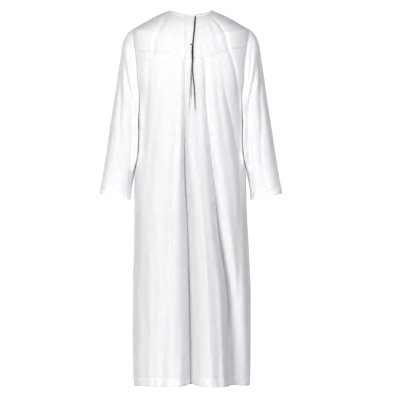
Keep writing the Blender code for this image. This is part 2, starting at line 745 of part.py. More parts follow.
def build():
    """All pieces of the robe."""
    white = (0.86, 0.86, 0.87)
    front_body(finish("front_cloth", white, 0.8))
    back_body(finish("back_cloth", white, 0.8))
    yoke("yoke_right", -1, finish("yoke_right_cloth", white, 0.8))
    yoke("yoke_left", 1, finish("yoke_left_cloth", white, 0.8))
    placket("placket_right", OPENING_LEFT + SEAM_GAP / 2, SLIT_X - SLIT_GAP / 2,
            finish("placket_right_cloth", white, 0.78))
    placket("placket_left", SLIT_X + SLIT_GAP / 2, OPENING_RIGHT - SEAM_GAP / 2,
            finish("placket_left_cloth", white, 0.78))
    neckband(finish("band_cloth", white, 0.75))
    sleeve("sleeve_right", -1, finish("sleeve_right_cloth", white, 0.8))
    sleeve("sleeve_left", 1, finish("sleeve_left_cloth", white, 0.8))
    dark = (0.03, 0.03, 0.035)
    hanging_cord(finish("cord_thread", dark, 0.6))
    knot_and_loop(finish("knot_thread", dark, 0.6), finish("loop_thread", white, 0.7))
    tassel(finish("tassel_thread", dark, 0.65))


for old in list(bpy.data.objects):
    bpy.data.objects.remove(old)
ROBE = bpy.data.collections.new("thobe_robe")
bpy.context.scene.collection.children.link(ROBE)
CUTTERS = bpy.data.collections.new("strands_to_fuse")
bpy.context.scene.collection.children.link(CUTTERS)
build()
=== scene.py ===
"""Looks of a long white robe in its worn form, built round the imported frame.

Every size is in metres unless a name ends in _mm, +Z is up and the front faces -Y. The robe's
body is one smooth surface, named by an angle round it (0 at the front) and a station, the way
down its side from the neck. Each cloth piece is a thin shell on that surface or on a sleeve's,
with its drape folds and its smaller creases, and it stands for the plain solid of the same place.
"""

import logging
import math
from dataclasses import dataclass
from enum import Enum
from typing import Callable, Iterable, Sequence

import bmesh
import bpy
import numpy as np
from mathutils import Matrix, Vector

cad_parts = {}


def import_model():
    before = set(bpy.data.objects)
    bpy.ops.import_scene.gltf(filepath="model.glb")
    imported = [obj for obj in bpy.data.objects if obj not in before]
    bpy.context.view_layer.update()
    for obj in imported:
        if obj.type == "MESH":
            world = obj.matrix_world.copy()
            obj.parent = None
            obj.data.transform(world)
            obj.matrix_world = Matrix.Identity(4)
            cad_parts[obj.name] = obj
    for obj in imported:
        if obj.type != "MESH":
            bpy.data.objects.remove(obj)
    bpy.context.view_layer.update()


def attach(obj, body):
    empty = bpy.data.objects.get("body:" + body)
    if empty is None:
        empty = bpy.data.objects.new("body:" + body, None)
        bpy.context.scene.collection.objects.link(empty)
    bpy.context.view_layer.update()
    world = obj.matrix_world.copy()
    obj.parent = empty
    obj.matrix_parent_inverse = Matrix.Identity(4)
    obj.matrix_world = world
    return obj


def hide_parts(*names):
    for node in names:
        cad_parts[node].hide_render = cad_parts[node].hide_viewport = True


LOG = logging.getLogger("thobe_robe")
MM = 0.001
PROBE = 0.5 * MM
Grid = np.ndarray
Rows = Sequence[Sequence[float]]
Colour = tuple[float, float, float]
Place = tuple[float, float, float]


class Side(Enum):
    """The wearer's side that a piece belongs to, by the sign of its X."""

    RIGHT = -1
    LEFT = 1


class Face(Enum):
    """Front or back of the robe, by the sign that its cosine of the body angle has."""

    FRONT = 1
    BACK = -1


def soft_step(value: Grid, low: float, high: float) -> Grid:
    """0 below low, 1 above high, and a soft rise between."""
    t = np.clip((value - low) / (high - low), 0.0, 1.0)
    return t * t * (3 - 2 * t)


def bell(offset: Grid, width: float) -> Grid:
    """1 in the middle, and a soft fall to 0 over a width or two to each side."""
    return np.exp(-(offset / width) ** 2)


class SmoothTable:
    """Rows of named columns, read between the rows by a curve that never overshoots."""

    def __init__(self, names: str, rows: Rows, unit: float = MM, runs_on: bool = False) -> None:
        """Keeps the rows and works out a slope for each.

        Args:
            names: The columns' names, the first being the key.
            rows: One sequence of numbers for each row, by rising key.
            unit: Metres in one unit of the rows.
            runs_on: Whether the table goes on straight past its ends.
        """
        data = np.array(rows, dtype=float) * unit
        self.runs_on = runs_on
        self.key = data[:, 0]
        self.column = {name: data[:, i] for i, name in enumerate(names.split())}
        self.slope = {name: self._slopes(values) for name, values in self.column.items()}

    def _slopes(self, values: Grid) -> Grid:
        """Slopes that keep each stretch monotone.

        Args:
            values: One column.

        Returns:
            The slope at each row.
        """
        step = np.diff(self.key)
        rise = np.diff(values) / step
        slope = np.zeros(len(values))
        slope[0], slope[-1] = rise[0], rise[-1]
        for i in range(1, len(values) - 1):
            if rise[i - 1] * rise[i] > 0:
                first = 2 * step[i] + step[i - 1]
                second = step[i] + 2 * step[i - 1]
                slope[i] = (first + second) / (first / rise[i - 1] + second / rise[i])
        return slope

    def at(self, name: str, asked: Grid) -> Grid:
        """Reads one column.

        Args:
            name: The column.
            asked: Keys, as one number or an array.

        Returns:
            The column's values there.
        """
        where = np.clip(asked, self.key[0], self.key[-1])
        low = np.clip(np.searchsorted(self.key, where, side="right") - 1, 0, len(self.key) - 2)
        step = self.key[low + 1] - self.key[low]
        t = (where - self.key[low]) / step
        values, slope = self.column[name], self.slope[name]
        found = (
            values[low] * (1 + 2 * t) * (1 - t) ** 2
            + slope[low] * step * t * (1 - t) ** 2
            + values[low + 1] * t * t * (3 - 2 * t)
            - slope[low + 1] * step * t * t * (1 - t)
        )
        if self.runs_on:
            end_slope = np.where(asked < where, slope[0], slope[-1])
            found = found + end_slope * (asked - where)
        return found


class Ripple:
    """Soft irregular waves over a surface, the same in each run."""

    def __init__(self, seed: int, wavelength: tuple[float, float], stretch: float, waves: int = 14) -> None:
        """Draws the waves.

        Args:
            seed: Fixed seed of the draw.
            wavelength: Shortest and longest wave across, in metres.
            stretch: How many times longer the waves run down than across.
            waves: How many are summed.
        """
        draw = np.random.default_rng(seed)
        length = draw.uniform(wavelength[0], wavelength[1], waves)
        self.across = 2 * math.pi / length * draw.uniform(0.75, 1.0, waves)
        self.down = 2 * math.pi / (length * stretch) * draw.uniform(-1.0, 1.0, waves)
        self.phase = draw.uniform(0, 2 * math.pi, waves)

    def at(self, across: Grid, down: Grid) -> Grid:
        """Height of the waves, about -1 to 1, at places given across and down in metres.

        Args:
            across: Places across, in metres.
            down: Places down, in metres.

        Returns:
            The height at each place.
        """
        total = np.zeros(np.broadcast(across, down).shape)
        for a, d, phase in zip(self.across, self.down, self.phase):
            total = total + np.sin(a * across + d * down + phase)
        return total / math.sqrt(len(self.phase)) / 1.6


@dataclass(frozen=True)
class Fold:
    """One long trough, or a ridge where its depth is negative, in millimetres.

    Its rows hold the key that runs down the cloth, the place across, the depth, and the widths
    towards -X and towards +X.
    """

    name: str
    rows: Rows

    def table(self) -> SmoothTable:
        """The fold's rows as a table."""
        return SmoothTable("key x depth right left", self.rows)


class FoldSet:
    """The folds of one face of the cloth."""

    def __init__(self, folds: Iterable[Fold], power: float) -> None:
        """Reads the folds into tables.

        Args:
            folds: The folds.
            power: Exponent of a fold's profile, 2 for a round trough and less for a sharper one.
        """
        self.tables = [fold.table() for fold in folds]
        self.power = power

    def felt(self, table: SmoothTable, x: Grid, key: Grid) -> Grid:
        """How much of one fold's depth is felt at a place, from 0 to 1."""
        offset = x - table.at("x", key)
        width = np.where(offset < 0, table.at("right", key), table.at("left", key))
        return np.exp(-np.abs(offset / width) ** self.power)

    def depth(self, x: Grid, key: Grid) -> Grid:
        """How far inside the plain surface the cloth lies.

        Args:
            x: Place across, in metres.
            key: Way down the cloth, in metres.

        Returns:
            The depth, negative on a ridge.
        """
        total = np.zeros(np.broadcast(x, key).shape)
        for table in self.tables:
            total = total + table.at("depth", key) * self.felt(table, x, key)
        return total


@dataclass
class BodyForm:
    """The robe's body as rings, its seams and its drape folds."""

    rings: Rows = (
        (0, 0, -30, -3, 80, 80, 70, 58),
        (55, -20.5, -54, -33, 128, 128, 87, 79),
        (110, -46, -82, -65, 176, 176, 101, 96),
        (150, -67.5, -103.8, -90.5, 212, 212, 109, 105.5),
        (165, -76, -112, -100, 225.5, 225.5, 112, 109),
        (200, -110, -136, -130, 229, 229, 119, 116),
        (260, -170, -174, -173, 229.5, 229.5, 127, 123),
        (356, -266, -266, -266, 221.5, 221.5, 133, 128),
        (418, -328, -328, -328, 205, 205, 134.5, 128),
        (475, -385, -385, -385, 197, 197, 135, 127),
        (540, -450, -450, -450, 196.5, 196.5, 135, 126),
        (634, -544, -544, -544, 198.5, 198.5, 135, 125),
        (680, -590, -590, -590, 207, 206, 135, 125),
        (710, -620, -620, -620, 212.5, 210.5, 135, 126),
        (780, -690, -690, -690, 217, 214, 136, 127),
        (862, -772, -772, -772, 218.5, 216.5, 137.5, 129),
        (1016, -926, -926, -926, 220, 224.8, 141, 133),
        (1210, -1120, -1120, -1120, 225.5, 232.5, 147, 139),
        (1402, -1312, -1312, -1312, 226.5, 232.5, 153, 146),
        (1500, -1412, -1410, -1410, 224, 232, 156, 149),
        (1536, -1449, -1446, -1446, 220.5, 228.5, 156, 149),
    )
    powers: Rows = ((0, 2.0), (165, 2.3), (475, 2.55), (700, 2.55), (1000, 2.35), (1536, 2.25))
    yoke_seam_rows: Rows = (
        (-230, 241), (-165, 249), (-117, 253), (-69, 263), (-18, 280),
        (44, 280), (70, 274), (104, 262), (155, 247), (230, 235),
    )
    shoulder_point: float = 160 * MM
    armpit: float = 490 * MM
    hem: float = 1536 * MM
    hem_turn: float = 36 * MM
    armhole_reach: float = 70 * MM
    armhole_round: float = 0.5
    fold_power: float = 1.4
    hem_lift: float = 8 * MM
    hem_lift_from: float = 1380 * MM
    # Where a sleeve rests against the body's side: height, and distance from the middle
    rest_rows: Rows = (
        (-614, 212.5), (-590, 208.6), (-561, 203), (-544, 201.2), (-500, 199.3), (-450, 199.2),
        (-400, 198.6), (-300, 199))
    press_width: float = 16 * MM
    press_depth: float = 58 * MM
    press_closer: float = 2.7 * MM
    press_soft: float = 2.8 * MM
    press_span: tuple[float, float] = (-570 * MM, -390 * MM)
    press_fade: tuple[float, float] = (80 * MM, 90 * MM)
    press_turn: float = 5 * MM
    # How far the stitching pulls the cloth in along the seams, and over what width
    yoke_valley: float = 2.4 * MM
    yoke_valley_width: float = 4.2 * MM
    yoke_pucker: float = 0.7 * MM
    yoke_pucker_width: float = 10.92 * MM
    neck_line: float = 10 * MM
    neck_valley: float = 0.8 * MM
    neck_valley_width: float = 2.4 * MM
    hem_pucker: float = 0.75 * MM
    hem_pucker_width: float = 5.5 * MM
    hem_pucker_slant: float = 0.6
    hem_valley: float = 0.6 * MM
    hem_valley_width: float = 1.6 * MM
    hem_swell: float = 0.35 * MM
    hem_swell_from: float = 6 * MM
    hem_rim: float = 1.0 * MM
    hem_rim_width: float = 2.5 * MM
    # Small waves of the cloth, and the shifts that set the back's waves apart from the front's
    ripple_depth: float = 0.75 * MM
    ripple_grows: tuple[float, float] = (200 * MM, 900 * MM)
    ripple_shift: float = 0.5
    crumple_depth: float = 0.16 * MM
    pucker_shift: float = 0.4
    # Degrees from the side over which the folds and the creases fade in
    fold_fade: tuple[float, float] = (2, 26)
    crease_fade: tuple[float, float] = (1, 9)
    # How closely the columns of a panel crowd at a fold's flanks
    flank_probes: int = 1500
    flank_pull: float = 8
    flank_depth: float = 20 * MM
    flank_reach: float = 1.5
    front_folds: Sequence[Fold] = (
        Fold("deep_centre", (
            (262, -20, 0, 7, 8), (300, -20, 8, 7, 8), (475, -20, 18, 8, 9), (630, -23, 32, 10, 11),
            (740, -22, 46, 15, 16), (823, -18, 55, 18, 20), (939, -13, 64, 22, 24), (1210, -5, 74, 25, 27),
            (1402, -2, 78, 26, 29), (1536, 0, 78, 26, 30))),
        Fold("long_left", (
            (262, 50, 0, 8, 10), (300, 55, 7, 8, 10), (475, 64, 14, 10, 11), (630, 80, 26, 15, 13),
            (740, 91, 33, 17, 14), (823, 103, 38, 18, 14), (939, 119, 45, 20, 14), (1210, 166, 54, 28, 17),
            (1402, 179, 56, 34, 34), (1536, 189, 54, 36, 42))),
        Fold("soft_right", (
            (480, -52, 0, 14, 14), (630, -61, 4, 15, 15), (823, -74, 10, 17, 16), (1016, -84, 12, 18, 18),
            (1210, -94, 10, 18, 19), (1402, -107, 12, 20, 21), (1536, -118, 15, 22, 22))),
        Fold("underarm_left", (
            (250, 114, 0, 13, 11), (400, 133, 4, 13, 11), (475, 150, 6, 14, 11), (553, 167, 7, 14, 11),
            (630, 180, 6, 14, 11), (740, 190, 3, 14, 11), (860, 194, 0, 14, 11))),
        Fold("edge_right", (
            (820, -172, 0, 18, 18), (1016, -176, 3, 20, 20), (1210, -178, 4, 22, 22),
            (1402, -177, 6, 22, 22), (1536, -176, 8, 22, 22))),
        Fold("middle_ridge", (
            (273, 11, 0, 16, 16), (340, 12, -4, 14, 15), (630, 14, -6, 14, 17), (823, 38, -8, 16, 20),
            (1016, 54, -11, 19, 23), (1210, 64, -13, 21, 25), (1536, 78, -15, 24, 30))),
    )
    back_folds: Sequence[Fold] = (
        Fold("back_right", (
            (420, -58, 0, 20, 18), (630, -66, 9, 18, 17), (1016, -84, 24, 20, 18),
            (1402, -98, 34, 22, 20), (1536, -104, 36, 22, 20))),
        Fold("back_middle", (
            (480, 12, 0, 20, 22), (700, 18, 8, 20, 19), (1016, 27, 20, 20, 19),
            (1402, 36, 29, 22, 20), (1536, 40, 31, 22, 20))),
        Fold("back_left", (
            (380, 98, 0, 18, 20), (630, 112, 10, 17, 18), (1016, 132, 20, 18, 20),
            (1402, 150, 27, 20, 22), (1536, 156, 29, 21, 22))),
    )
    front_creases: Sequence[Fold] = (
        Fold("drag_right", (
            (28, -86, 1.5, 7, 7), (70, -100, 3.2, 8, 8), (140, -120, 3.4, 9, 8),
            (205, -138, 3.6, 9, 8), (246, -141, 4.5, 8, 8), (285, -144, 0, 8, 8))),
        Fold("drag_left", (
            (40, 78, 1.5, 8, 7), (110, 112, 3.2, 9, 7), (180, 134, 3.6, 10, 7), (245, 147, 3.8, 9, 7),
            (310, 168, 4.5, 9, 6), (370, 180, 5.0, 9, 6), (430, 187, 5.5, 9, 6), (480, 191, 3.0, 9, 6))),
        Fold("yoke_inner_left", (
            (30, 62, 0, 10, 9), (80, 78, 2.2, 10, 9), (150, 92, 2.4, 11, 9), (240, 108, 1.6, 11, 9),
            (290, 114, 0, 11, 9))),
        Fold("yoke_inner_right", (
            (60, -44, 0, 9, 10), (130, -52, 1.4, 9, 10), (230, -60, 1.2, 10, 10), (300, -62, 0, 10, 10))),
        Fold("chest_right_outer", (
            (255, -158, 0, 8, 9), (300, -159, 2.4, 8, 9), (380, -164, 2.6, 8, 10), (480, -171, 2.6, 9, 10),
            (600, -178, 1.6, 9, 10), (700, -182, 0, 9, 10))),
        Fold("chest_right_inner", (
            (300, -108, 0, 8, 9), (420, -116, 1.6, 9, 9), (520, -132, 2.0, 9, 10), (640, -150, 2.4, 10, 10),
            (760, -160, 2.4, 10, 11), (880, -172, 1.2, 10, 11), (960, -178, 0, 10, 11))),
        Fold("chest_right_middle", (
            (310, -62, 0, 8, 8), (400, -60, 1.5, 8, 8), (520, -60, 2.0, 8, 9), (700, -66, 1.5, 9, 9),
            (820, -70, 0, 9, 9))),
        Fold("left_of_deep", (
            (300, -46, 0, 8, 7), (420, -47, 1.4, 8, 7), (640, -52, 2.2, 9, 8), (900, -50, 2.0, 9, 8),
            (1180, -46, 0, 9, 8))),
        Fold("chest_left", (
            (285, 92, 0, 10, 9), (350, 98, 2.0, 10, 9), (450, 108, 2.6, 10, 9), (560, 124, 2.6, 11, 9),
            (700, 140, 2.0, 11, 10), (820, 150, 0, 11, 10))),
        Fold("hip_left", (
            (700, 150, 0, 10, 11), (820, 160, 2.2, 10, 11), (980, 176, 3.2, 11, 11), (1180, 190, 3.0, 11, 11),
            (1380, 200, 2.0, 11, 11), (1536, 206, 2.0, 11, 11))),
        Fold("skirt_right", (
            (980, -128, 0, 14, 13), (1120, -134, 2.4, 14, 13), (1300, -140, 3.6, 15, 14),
            (1536, -148, 5.0, 15, 14))),
        Fold("skirt_middle_right", (
            (1100, -42, 0, 12, 12), (1260, -46, 2.2, 12, 12), (1420, -52, 3.6, 13, 12),
            (1536, -58, 5.0, 13, 12))),
        Fold("skirt_left_ridge", (
            (1000, 100, 0, 9, 9), (1150, 108, -2.0, 10, 10), (1350, 120, -3.0, 11, 11),
            (1536, 128, -4.0, 12, 12))),
        Fold("placket_right_edge", (
            (36, -19, 0.4, 3, 3), (120, -18, 1.4, 3.2, 3.2), (230, -16, 1.8, 3.4, 3.4),
            (279, -18, 1.6, 3.4, 3.4), (300, -19, 0, 3.4, 3.4))),
        Fold("placket_left_edge", (
            (40, 43, 0.3, 3, 3), (150, 43, 0.8, 3, 3), (279, 44, 1.2, 3.2, 3.2), (300, 45, 0, 3.2, 3.2))),
        Fold("placket_hollow_left", (
            (30, 28, 0, 7, 7), (90, 29, 1.8, 7, 7), (200, 29, 1.4, 7, 7), (285, 31, 0, 7, 7))),
        Fold("placket_hollow_right", (
            (60, -5, 0, 6, 6), (130, -5, 1.2, 6, 6), (240, -4, 1.0, 6, 6), (290, -4, 0, 6, 6))),
    )
    back_creases: Sequence[Fold] = (
        Fold("back_drag_right", (
            (40, -84, 1.0, 8, 8), (130, -116, 2.8, 9, 9), (230, -150, 3.2, 9, 9), (340, -170, 3.0, 9, 9),
            (440, -180, 2.0, 9, 9), (520, -184, 0, 9, 9))),
        Fold("back_drag_left", (
            (45, 86, 1.0, 8, 8), (140, 120, 2.6, 9, 9), (250, 154, 3.4, 9, 9), (360, 172, 3.0, 9, 9),
            (450, 182, 2.0, 9, 9), (520, 186, 0, 9, 9))),
        Fold("blade_right", (
            (210, -70, 0, 13, 12), (320, -76, 2.4, 13, 12), (480, -92, 3.0, 13, 12), (700, -118, 2.8, 14, 13),
            (900, -136, 3.4, 14, 13), (1200, -150, 4.2, 15, 14), (1536, -158, 5.0, 16, 14))),
        Fold("blade_left", (
            (240, 60, 0, 12, 13), (360, 64, 2.2, 12, 13), (540, 72, 3.0, 12, 13), (760, 80, 2.4, 13, 13),
            (1000, 84, 2.0, 13, 13), (1200, 88, 0, 13, 13))),
        Fold("spine", (
            (300, -8, 0, 12, 12), (420, -6, 2.4, 12, 12), (620, -12, 3.0, 12, 12), (820, -28, 3.4, 12, 12),
            (1100, -34, 3.0, 12, 12), (1400, -32, 3.6, 12, 12), (1536, -32, 4.0, 12, 12))),
        Fold("hip_back", (
            (820, 170, 0, 12, 12), (1000, 182, 3.0, 12, 12), (1300, 192, 4.0, 12, 12),
            (1536, 198, 4.0, 12, 12))),
    )

    def __post_init__(self) -> None:
        """Reads the rows into tables."""
        self.ring = SmoothTable(
            "station side_z front_z back_z right left front back", self.rings, runs_on=True)
        self.power_table = SmoothTable("station power", self.powers, unit=1.0)
        self.yoke_seam = SmoothTable("x station", self.yoke_seam_rows)
        self.rest = SmoothTable("height x", self.rest_rows)
        self.folds = {Face.FRONT: FoldSet(self.front_folds, self.fold_power),
                      Face.BACK: FoldSet(self.back_folds, self.fold_power)}
        self.creases = {Face.FRONT: FoldSet(self.front_creases, 2.0),
                        Face.BACK: FoldSet(self.back_creases, 2.0)}
        self.ripple = Ripple(11, (26 * MM, 80 * MM), 6.0)
        self.crumple = Ripple(12, (11 * MM, 26 * MM), 2.2)
        self.pucker = Ripple(13, (9 * MM, 20 * MM), 1.3)

    def power(self, station: Grid) -> Grid:
        """Exponent of the ring at a station."""
        return self.power_table.at("power", station / MM)

    def half_width(self, sign: Grid, station: Grid) -> Grid:
        """Half width of the body on the side that sign names."""
        return np.where(sign < 0, self.ring.at("right", station), self.ring.at("left", station))

    def angle_at_x(self, x: Grid, station: Grid) -> Grid:
        """Body angle of the point at x on the front."""
        power = self.power(station)
        share = np.clip(np.abs(x) / self.half_width(np.sign(x), station), 0.0, 1.0)
        return np.arctan2(x, self.ring.at("front", station) * (1 - share ** power) ** (1 / power))

    def armhole_depth(self, station: Grid) -> Grid:
        """Half the depth of the armhole at a station, nothing where there is none."""
        share = np.clip((station - self.shoulder_point) / (self.armpit - self.shoulder_point), 0.0, 1.0)
        return self.armhole_reach * np.maximum(np.sin(math.pi * share), 0.0) ** self.armhole_round

    def edge_angle(self, side: Side, station: Grid, face: Face) -> Grid:
        """Body angle of a panel's own edge: shoulder seam, armhole or side seam.

        Args:
            side: The wearer's side.
            station: Way down the side.
            face: Whether the panel is on the front or the back.

        Returns:
            The angle, from -180 to 180 degrees, in radians.
        """
        depth = self.ring.at("front" if face is Face.FRONT else "back", station)
        power = self.power(station)
        reach = self.armhole_depth(station)
        x = self.half_width(side.value, station) * (1 - np.clip(reach / depth, 0, 1) ** power) ** (1 / power)
        return np.arctan2(side.value * x, face.value * reach)

    def plain(self, angle: Grid, station: Grid) -> Grid:
        """Points of the body's plain surface, without folds."""
        sine, cosine = np.sin(angle), np.cos(angle)
        power = self.power(station)
        width = self.half_width(sine, station)
        depth = np.where(cosine > 0, self.ring.at("front", station), self.ring.at("back", station))
        radius = ((np.abs(sine) / width) ** power + (np.abs(cosine) / depth) ** power) ** (-1 / power)
        side_z = self.ring.at("side_z", station)
        face_z = np.where(cosine > 0, self.ring.at("front_z", station), self.ring.at("back_z", station))
        z = side_z + (face_z - side_z) * np.abs(cosine) ** 1.5
        return np.stack([radius * sine, -radius * cosine, z], axis=-1)

    def seam_valley(self, angle: Grid, station: Grid, x: Grid) -> Grid:
        """Narrow valleys that the stitching pulls in along the seams.

        Args:
            angle: Body angle.
            station: Way down the side.
            x: Place across, of the plain surface.

        Returns:
            The depth of the valleys.
        """
        offset = station - self.yoke_seam.at("station", x)
        yoke = self.yoke_valley * bell(offset, self.yoke_valley_width)
        yoke = yoke + self.yoke_pucker * self.pucker.at(x, station) * bell(offset, self.yoke_pucker_width)
        neck = self.neck_valley * bell(station - self.neck_line, self.neck_valley_width)
        return np.where(np.cos(angle) > 0, yoke, 0.0) + neck

    def hem_ripple(self, angle: Grid, station: Grid, x: Grid) -> Grid:
        """Puckers of the turned hem, strongest along its stitching.

        Args:
            angle: Body angle.
            station: Way down the side.
            x: Place across, of the plain surface.

        Returns:
            The depth of the puckers.
        """
        line = self.hem - self.hem_turn
        off = station - line
        around = x + np.sign(np.cos(angle)) * self.pucker_shift - self.hem_pucker_slant * off
        below = soft_step(station, line, line + self.hem_swell_from)
        strength = bell(off, self.hem_pucker_width) + 0.55 * below
        depth = self.hem_pucker * self.pucker.at(around, station) * strength
        depth = depth + self.hem_valley * bell(off, self.hem_valley_width) - self.hem_swell * below
        return depth + self.hem_rim * bell(self.hem - station, self.hem_rim_width)

    def surface(self, angle: Grid, station: Grid) -> Grid:
        """Points of the outside of the cloth, pressed in where the sleeves rest on it."""
        return self.pressed(self.draped(angle, station))

    def draped(self, angle: Grid, station: Grid) -> Grid:
        """Points of the outside of the cloth, with its folds and creases.

        Args:
            angle: Body angle.
            station: Way down the side.

        Returns:
            Points, one for each angle and station.
        """
        point = self.plain(angle, station)
        outward = -surface_normals(self.plain, angle, station)
        x = point[..., 0]
        front = np.cos(angle) > 0
        from_side = np.abs(np.abs(np.degrees(np.arctan2(np.sin(angle), np.cos(angle)))) - 90)
        folds, creases = self.folds[Face.FRONT], self.creases[Face.FRONT]
        depth = np.where(front, folds.depth(x, station), self.folds[Face.BACK].depth(x, station))
        fine = np.where(front, creases.depth(x, station), self.creases[Face.BACK].depth(x, station))
        around = x + np.sign(np.cos(angle)) * self.ripple_shift
        grown = 0.35 + 0.65 * soft_step(station, *self.ripple_grows)
        fine = fine + self.ripple_depth * grown * self.ripple.at(around, station)
        fine = fine + self.crumple_depth * self.crumple.at(around, station)
        depth = depth * soft_step(from_side, *self.fold_fade) + fine * soft_step(from_side, *self.crease_fade)
        depth = depth + self.seam_valley(angle, station, x) + self.hem_ripple(angle, station, x)
        point = point - outward * depth[..., None]
        felt = folds.felt(folds.tables[0], x, station)
        lift = self.hem_lift * soft_step(station, self.hem_lift_from, self.hem) * felt
        point[..., 2] += np.where(front, lift, 0)
        return point

    def pressed(self, point: Grid) -> Grid:
        """Moves cloth outwards where the sleeve rests against the body's side.

        Args:
            point: Points of the body or of a sleeve.

        Returns:
            The points, with the hollow under the arm made shallow.
        """
        offset = np.abs(point[..., 0]) - self.rest.at("x", point[..., 2])
        near = bell(offset, self.press_width)
        (below, above), (fade_below, fade_above) = self.press_span, self.press_fade
        near = near * soft_step(point[..., 2], below - fade_below, below)
        near = near * (1 - soft_step(point[..., 2], above, above + fade_above))
        moved = point.copy()
        y = point[..., 1]
        rise = np.hypot(y, self.press_depth) - np.abs(y)
        moved[..., 1] += near * rise * np.tanh(y / self.press_turn)
        closer = self.press_closer * near * np.tanh(offset / self.press_soft)
        moved[..., 0] -= np.sign(point[..., 0]) * closer
        return moved

    def columns(self, low: float, high: float, count: int, station: float, face: Face) -> Grid:
        """Angles between two edges of one ring, closer together at the folds' flanks.

        Args:
            low: First angle.
            high: Last angle.
            count: How many spans lie between them.
            station: The ring's station.
            face: Whose folds draw the columns.

        Returns:
            count + 1 angles.
        """
        fine = np.linspace(low, high, self.flank_probes)
        x = self.plain(fine, np.full_like(fine, station))[:, 0]
        density = np.ones_like(fine)
        for table in self.folds[face].tables:
            depth = abs(float(table.at("depth", station)))
            width = 0.5 * float(table.at("right", station) + table.at("left", station))
            pull = self.flank_pull * depth / (depth + self.flank_depth)
            density += pull * bell(x - float(table.at("x", station)), self.flank_reach * width)
        run = np.concatenate([[0.0], np.cumsum(0.5 * (density[1:] + density[:-1]))])
        return np.interp(np.linspace(0, run[-1], count + 1), run, fine)


def surface_normals(surface: Callable[[Grid, Grid], Grid], first: Grid, second: Grid) -> Grid:
    """Unit normals of a surface, from small steps along its two directions.

    Args:
        surface: Function of two grids that gives points.
        first: First coordinate.
        second: Second coordinate.

    Returns:
        One unit vector for each point.
    """
    along_first = surface(first + PROBE, second) - surface(first - PROBE, second)
    along_second = surface(first, second + PROBE) - surface(first, second - PROBE)
    normal = np.cross(along_first, along_second)
    return normal / np.linalg.norm(normal, axis=-1, keepdims=True)


class Shading:
    """A material's node tree, with short ways to add nodes and to dress its shader."""

    def __init__(self, name: str) -> None:
        """Starts from a plain Principled material."""
        self.material = bpy.data.materials.new(name)
        self.material.use_nodes = True
        self.tree = self.material.node_tree

    def add(self, kind: str, values: dict[str | int, object], **options: str) -> bpy.types.Node:
        """Adds a node.

        Args:
            kind: The node's kind, without the words that all shader nodes begin with.
            values: What each named socket holds, or the output that feeds it.
            options: The node's own options.

        Returns:
            The node.
        """
        node = self.tree.nodes.new("ShaderNode" + kind)
        for name, option in options.items():
            setattr(node, name, option)
        self.feed(node, values)
        return node

    def feed(self, node: bpy.types.Node, values: dict[str | int, object]) -> None:
        """Sets or links the named sockets of a node.

        Args:
            node: The node.
            values: What each socket holds, or the output that feeds it.
        """
        for name, value in values.items():
            if isinstance(value, bpy.types.NodeSocket):
                self.tree.links.new(value, node.inputs[name])
            else:
                node.inputs[name].default_value = value

    def bands(self, vector: bpy.types.NodeSocket, direction: str, width: float,
              values: dict[str, float]) -> bpy.types.NodeSocket:
        """Bands of a wave texture, from 0 to 1.

        Args:
            vector: Where the bands lie.
            direction: The way across them.
            width: Metres for each radian of the wave.
            values: The texture's other sockets.

        Returns:
            The texture's output.
        """
        scale = 0.314 / (width * 2 * math.pi)
        wave = self.add("TexWave", {"Vector": vector, "Scale": scale, **values}, bands_direction=direction)
        return wave.outputs["Fac"]

    def mix(self, factor: bpy.types.NodeSocket, first: Colour, second: Colour) -> bpy.types.NodeSocket:
        """Colour between two others."""
        values = {"Factor": factor, "A": (*first, 1.0), "B": (*second, 1.0)}
        return self.add("Mix", values, data_type="RGBA").outputs["Result"]

    def dress(self, values: dict[str, object]) -> bpy.types.Material:
        """Dresses the shader and gives the finished material."""
        self.feed(self.tree.nodes["Principled BSDF"], values)
        return self.material


@dataclass(frozen=True)
class ClothFinish:
    """Smooth white cotton, with its weave, faint slubs and soft sheen."""

    name: str
    colour: Colour = (0.81, 0.81, 0.815)
    shade: Colour = (0.78, 0.78, 0.79)
    thread: float = 0.42 * MM
    roughness: float = 0.82
    roughness_spread: float = 0.06
    sheen: float = 0.12
    glow: float = 0.3
    glow_depth: float = 5 * MM
    weave_depth: float = 0.035 * MM
    slub_scale: float = 55.0
    crease_scale: float = 70.0
    crease_stretch: float = 0.35
    crease_depth: float = 0.25 * MM

    def material(self) -> bpy.types.Material:
        """Builds the finish as a node material that reads the piece's own UV map in metres."""
        art = Shading(self.name)
        uv = art.add("UVMap", {}, uv_map="cloth").outputs["UV"]
        place = art.add("TexCoord", {}).outputs["Object"]
        slub = art.add("TexNoise", {"Vector": place, "Scale": self.slub_scale, "Detail": 4.0}).outputs["Fac"]
        rough = art.add("MapRange", {
            "Value": slub, "To Min": self.roughness - self.roughness_spread,
            "To Max": self.roughness + self.roughness_spread})

        loose = {"Distortion": 1.2, "Detail": 1.0}
        warp, weft = (art.bands(uv, direction, self.thread, loose) for direction in ("X", "Y"))
        weave = art.add("Math", {0: warp, 1: weft}, operation="MULTIPLY")
        woven = art.add("Bump", {
            "Strength": 0.5, "Distance": self.weave_depth, "Height": weave.outputs["Value"]})
        stretched = art.add("Mapping", {"Vector": place, "Scale": (1.0, 1.0, self.crease_stretch)})
        soft = art.add("TexNoise", {
            "Vector": stretched.outputs["Vector"], "Scale": self.crease_scale, "Detail": 3.0})
        creased = art.add("Bump", {
            "Strength": 0.4, "Distance": self.crease_depth, "Height": soft.outputs["Fac"],
            "Normal": woven.outputs["Normal"]})
        return art.dress({
            "Base Color": art.mix(slub, self.colour, self.shade), "Roughness": rough.outputs["Result"],
            "Sheen Weight": self.sheen, "Sheen Roughness": 0.5, "Subsurface Weight": self.glow,
            "Subsurface Radius": (1.0, 1.0, 1.0), "Subsurface Scale": self.glow_depth,
            "Specular IOR Level": 0.25, "Normal": creased.outputs["Normal"]})


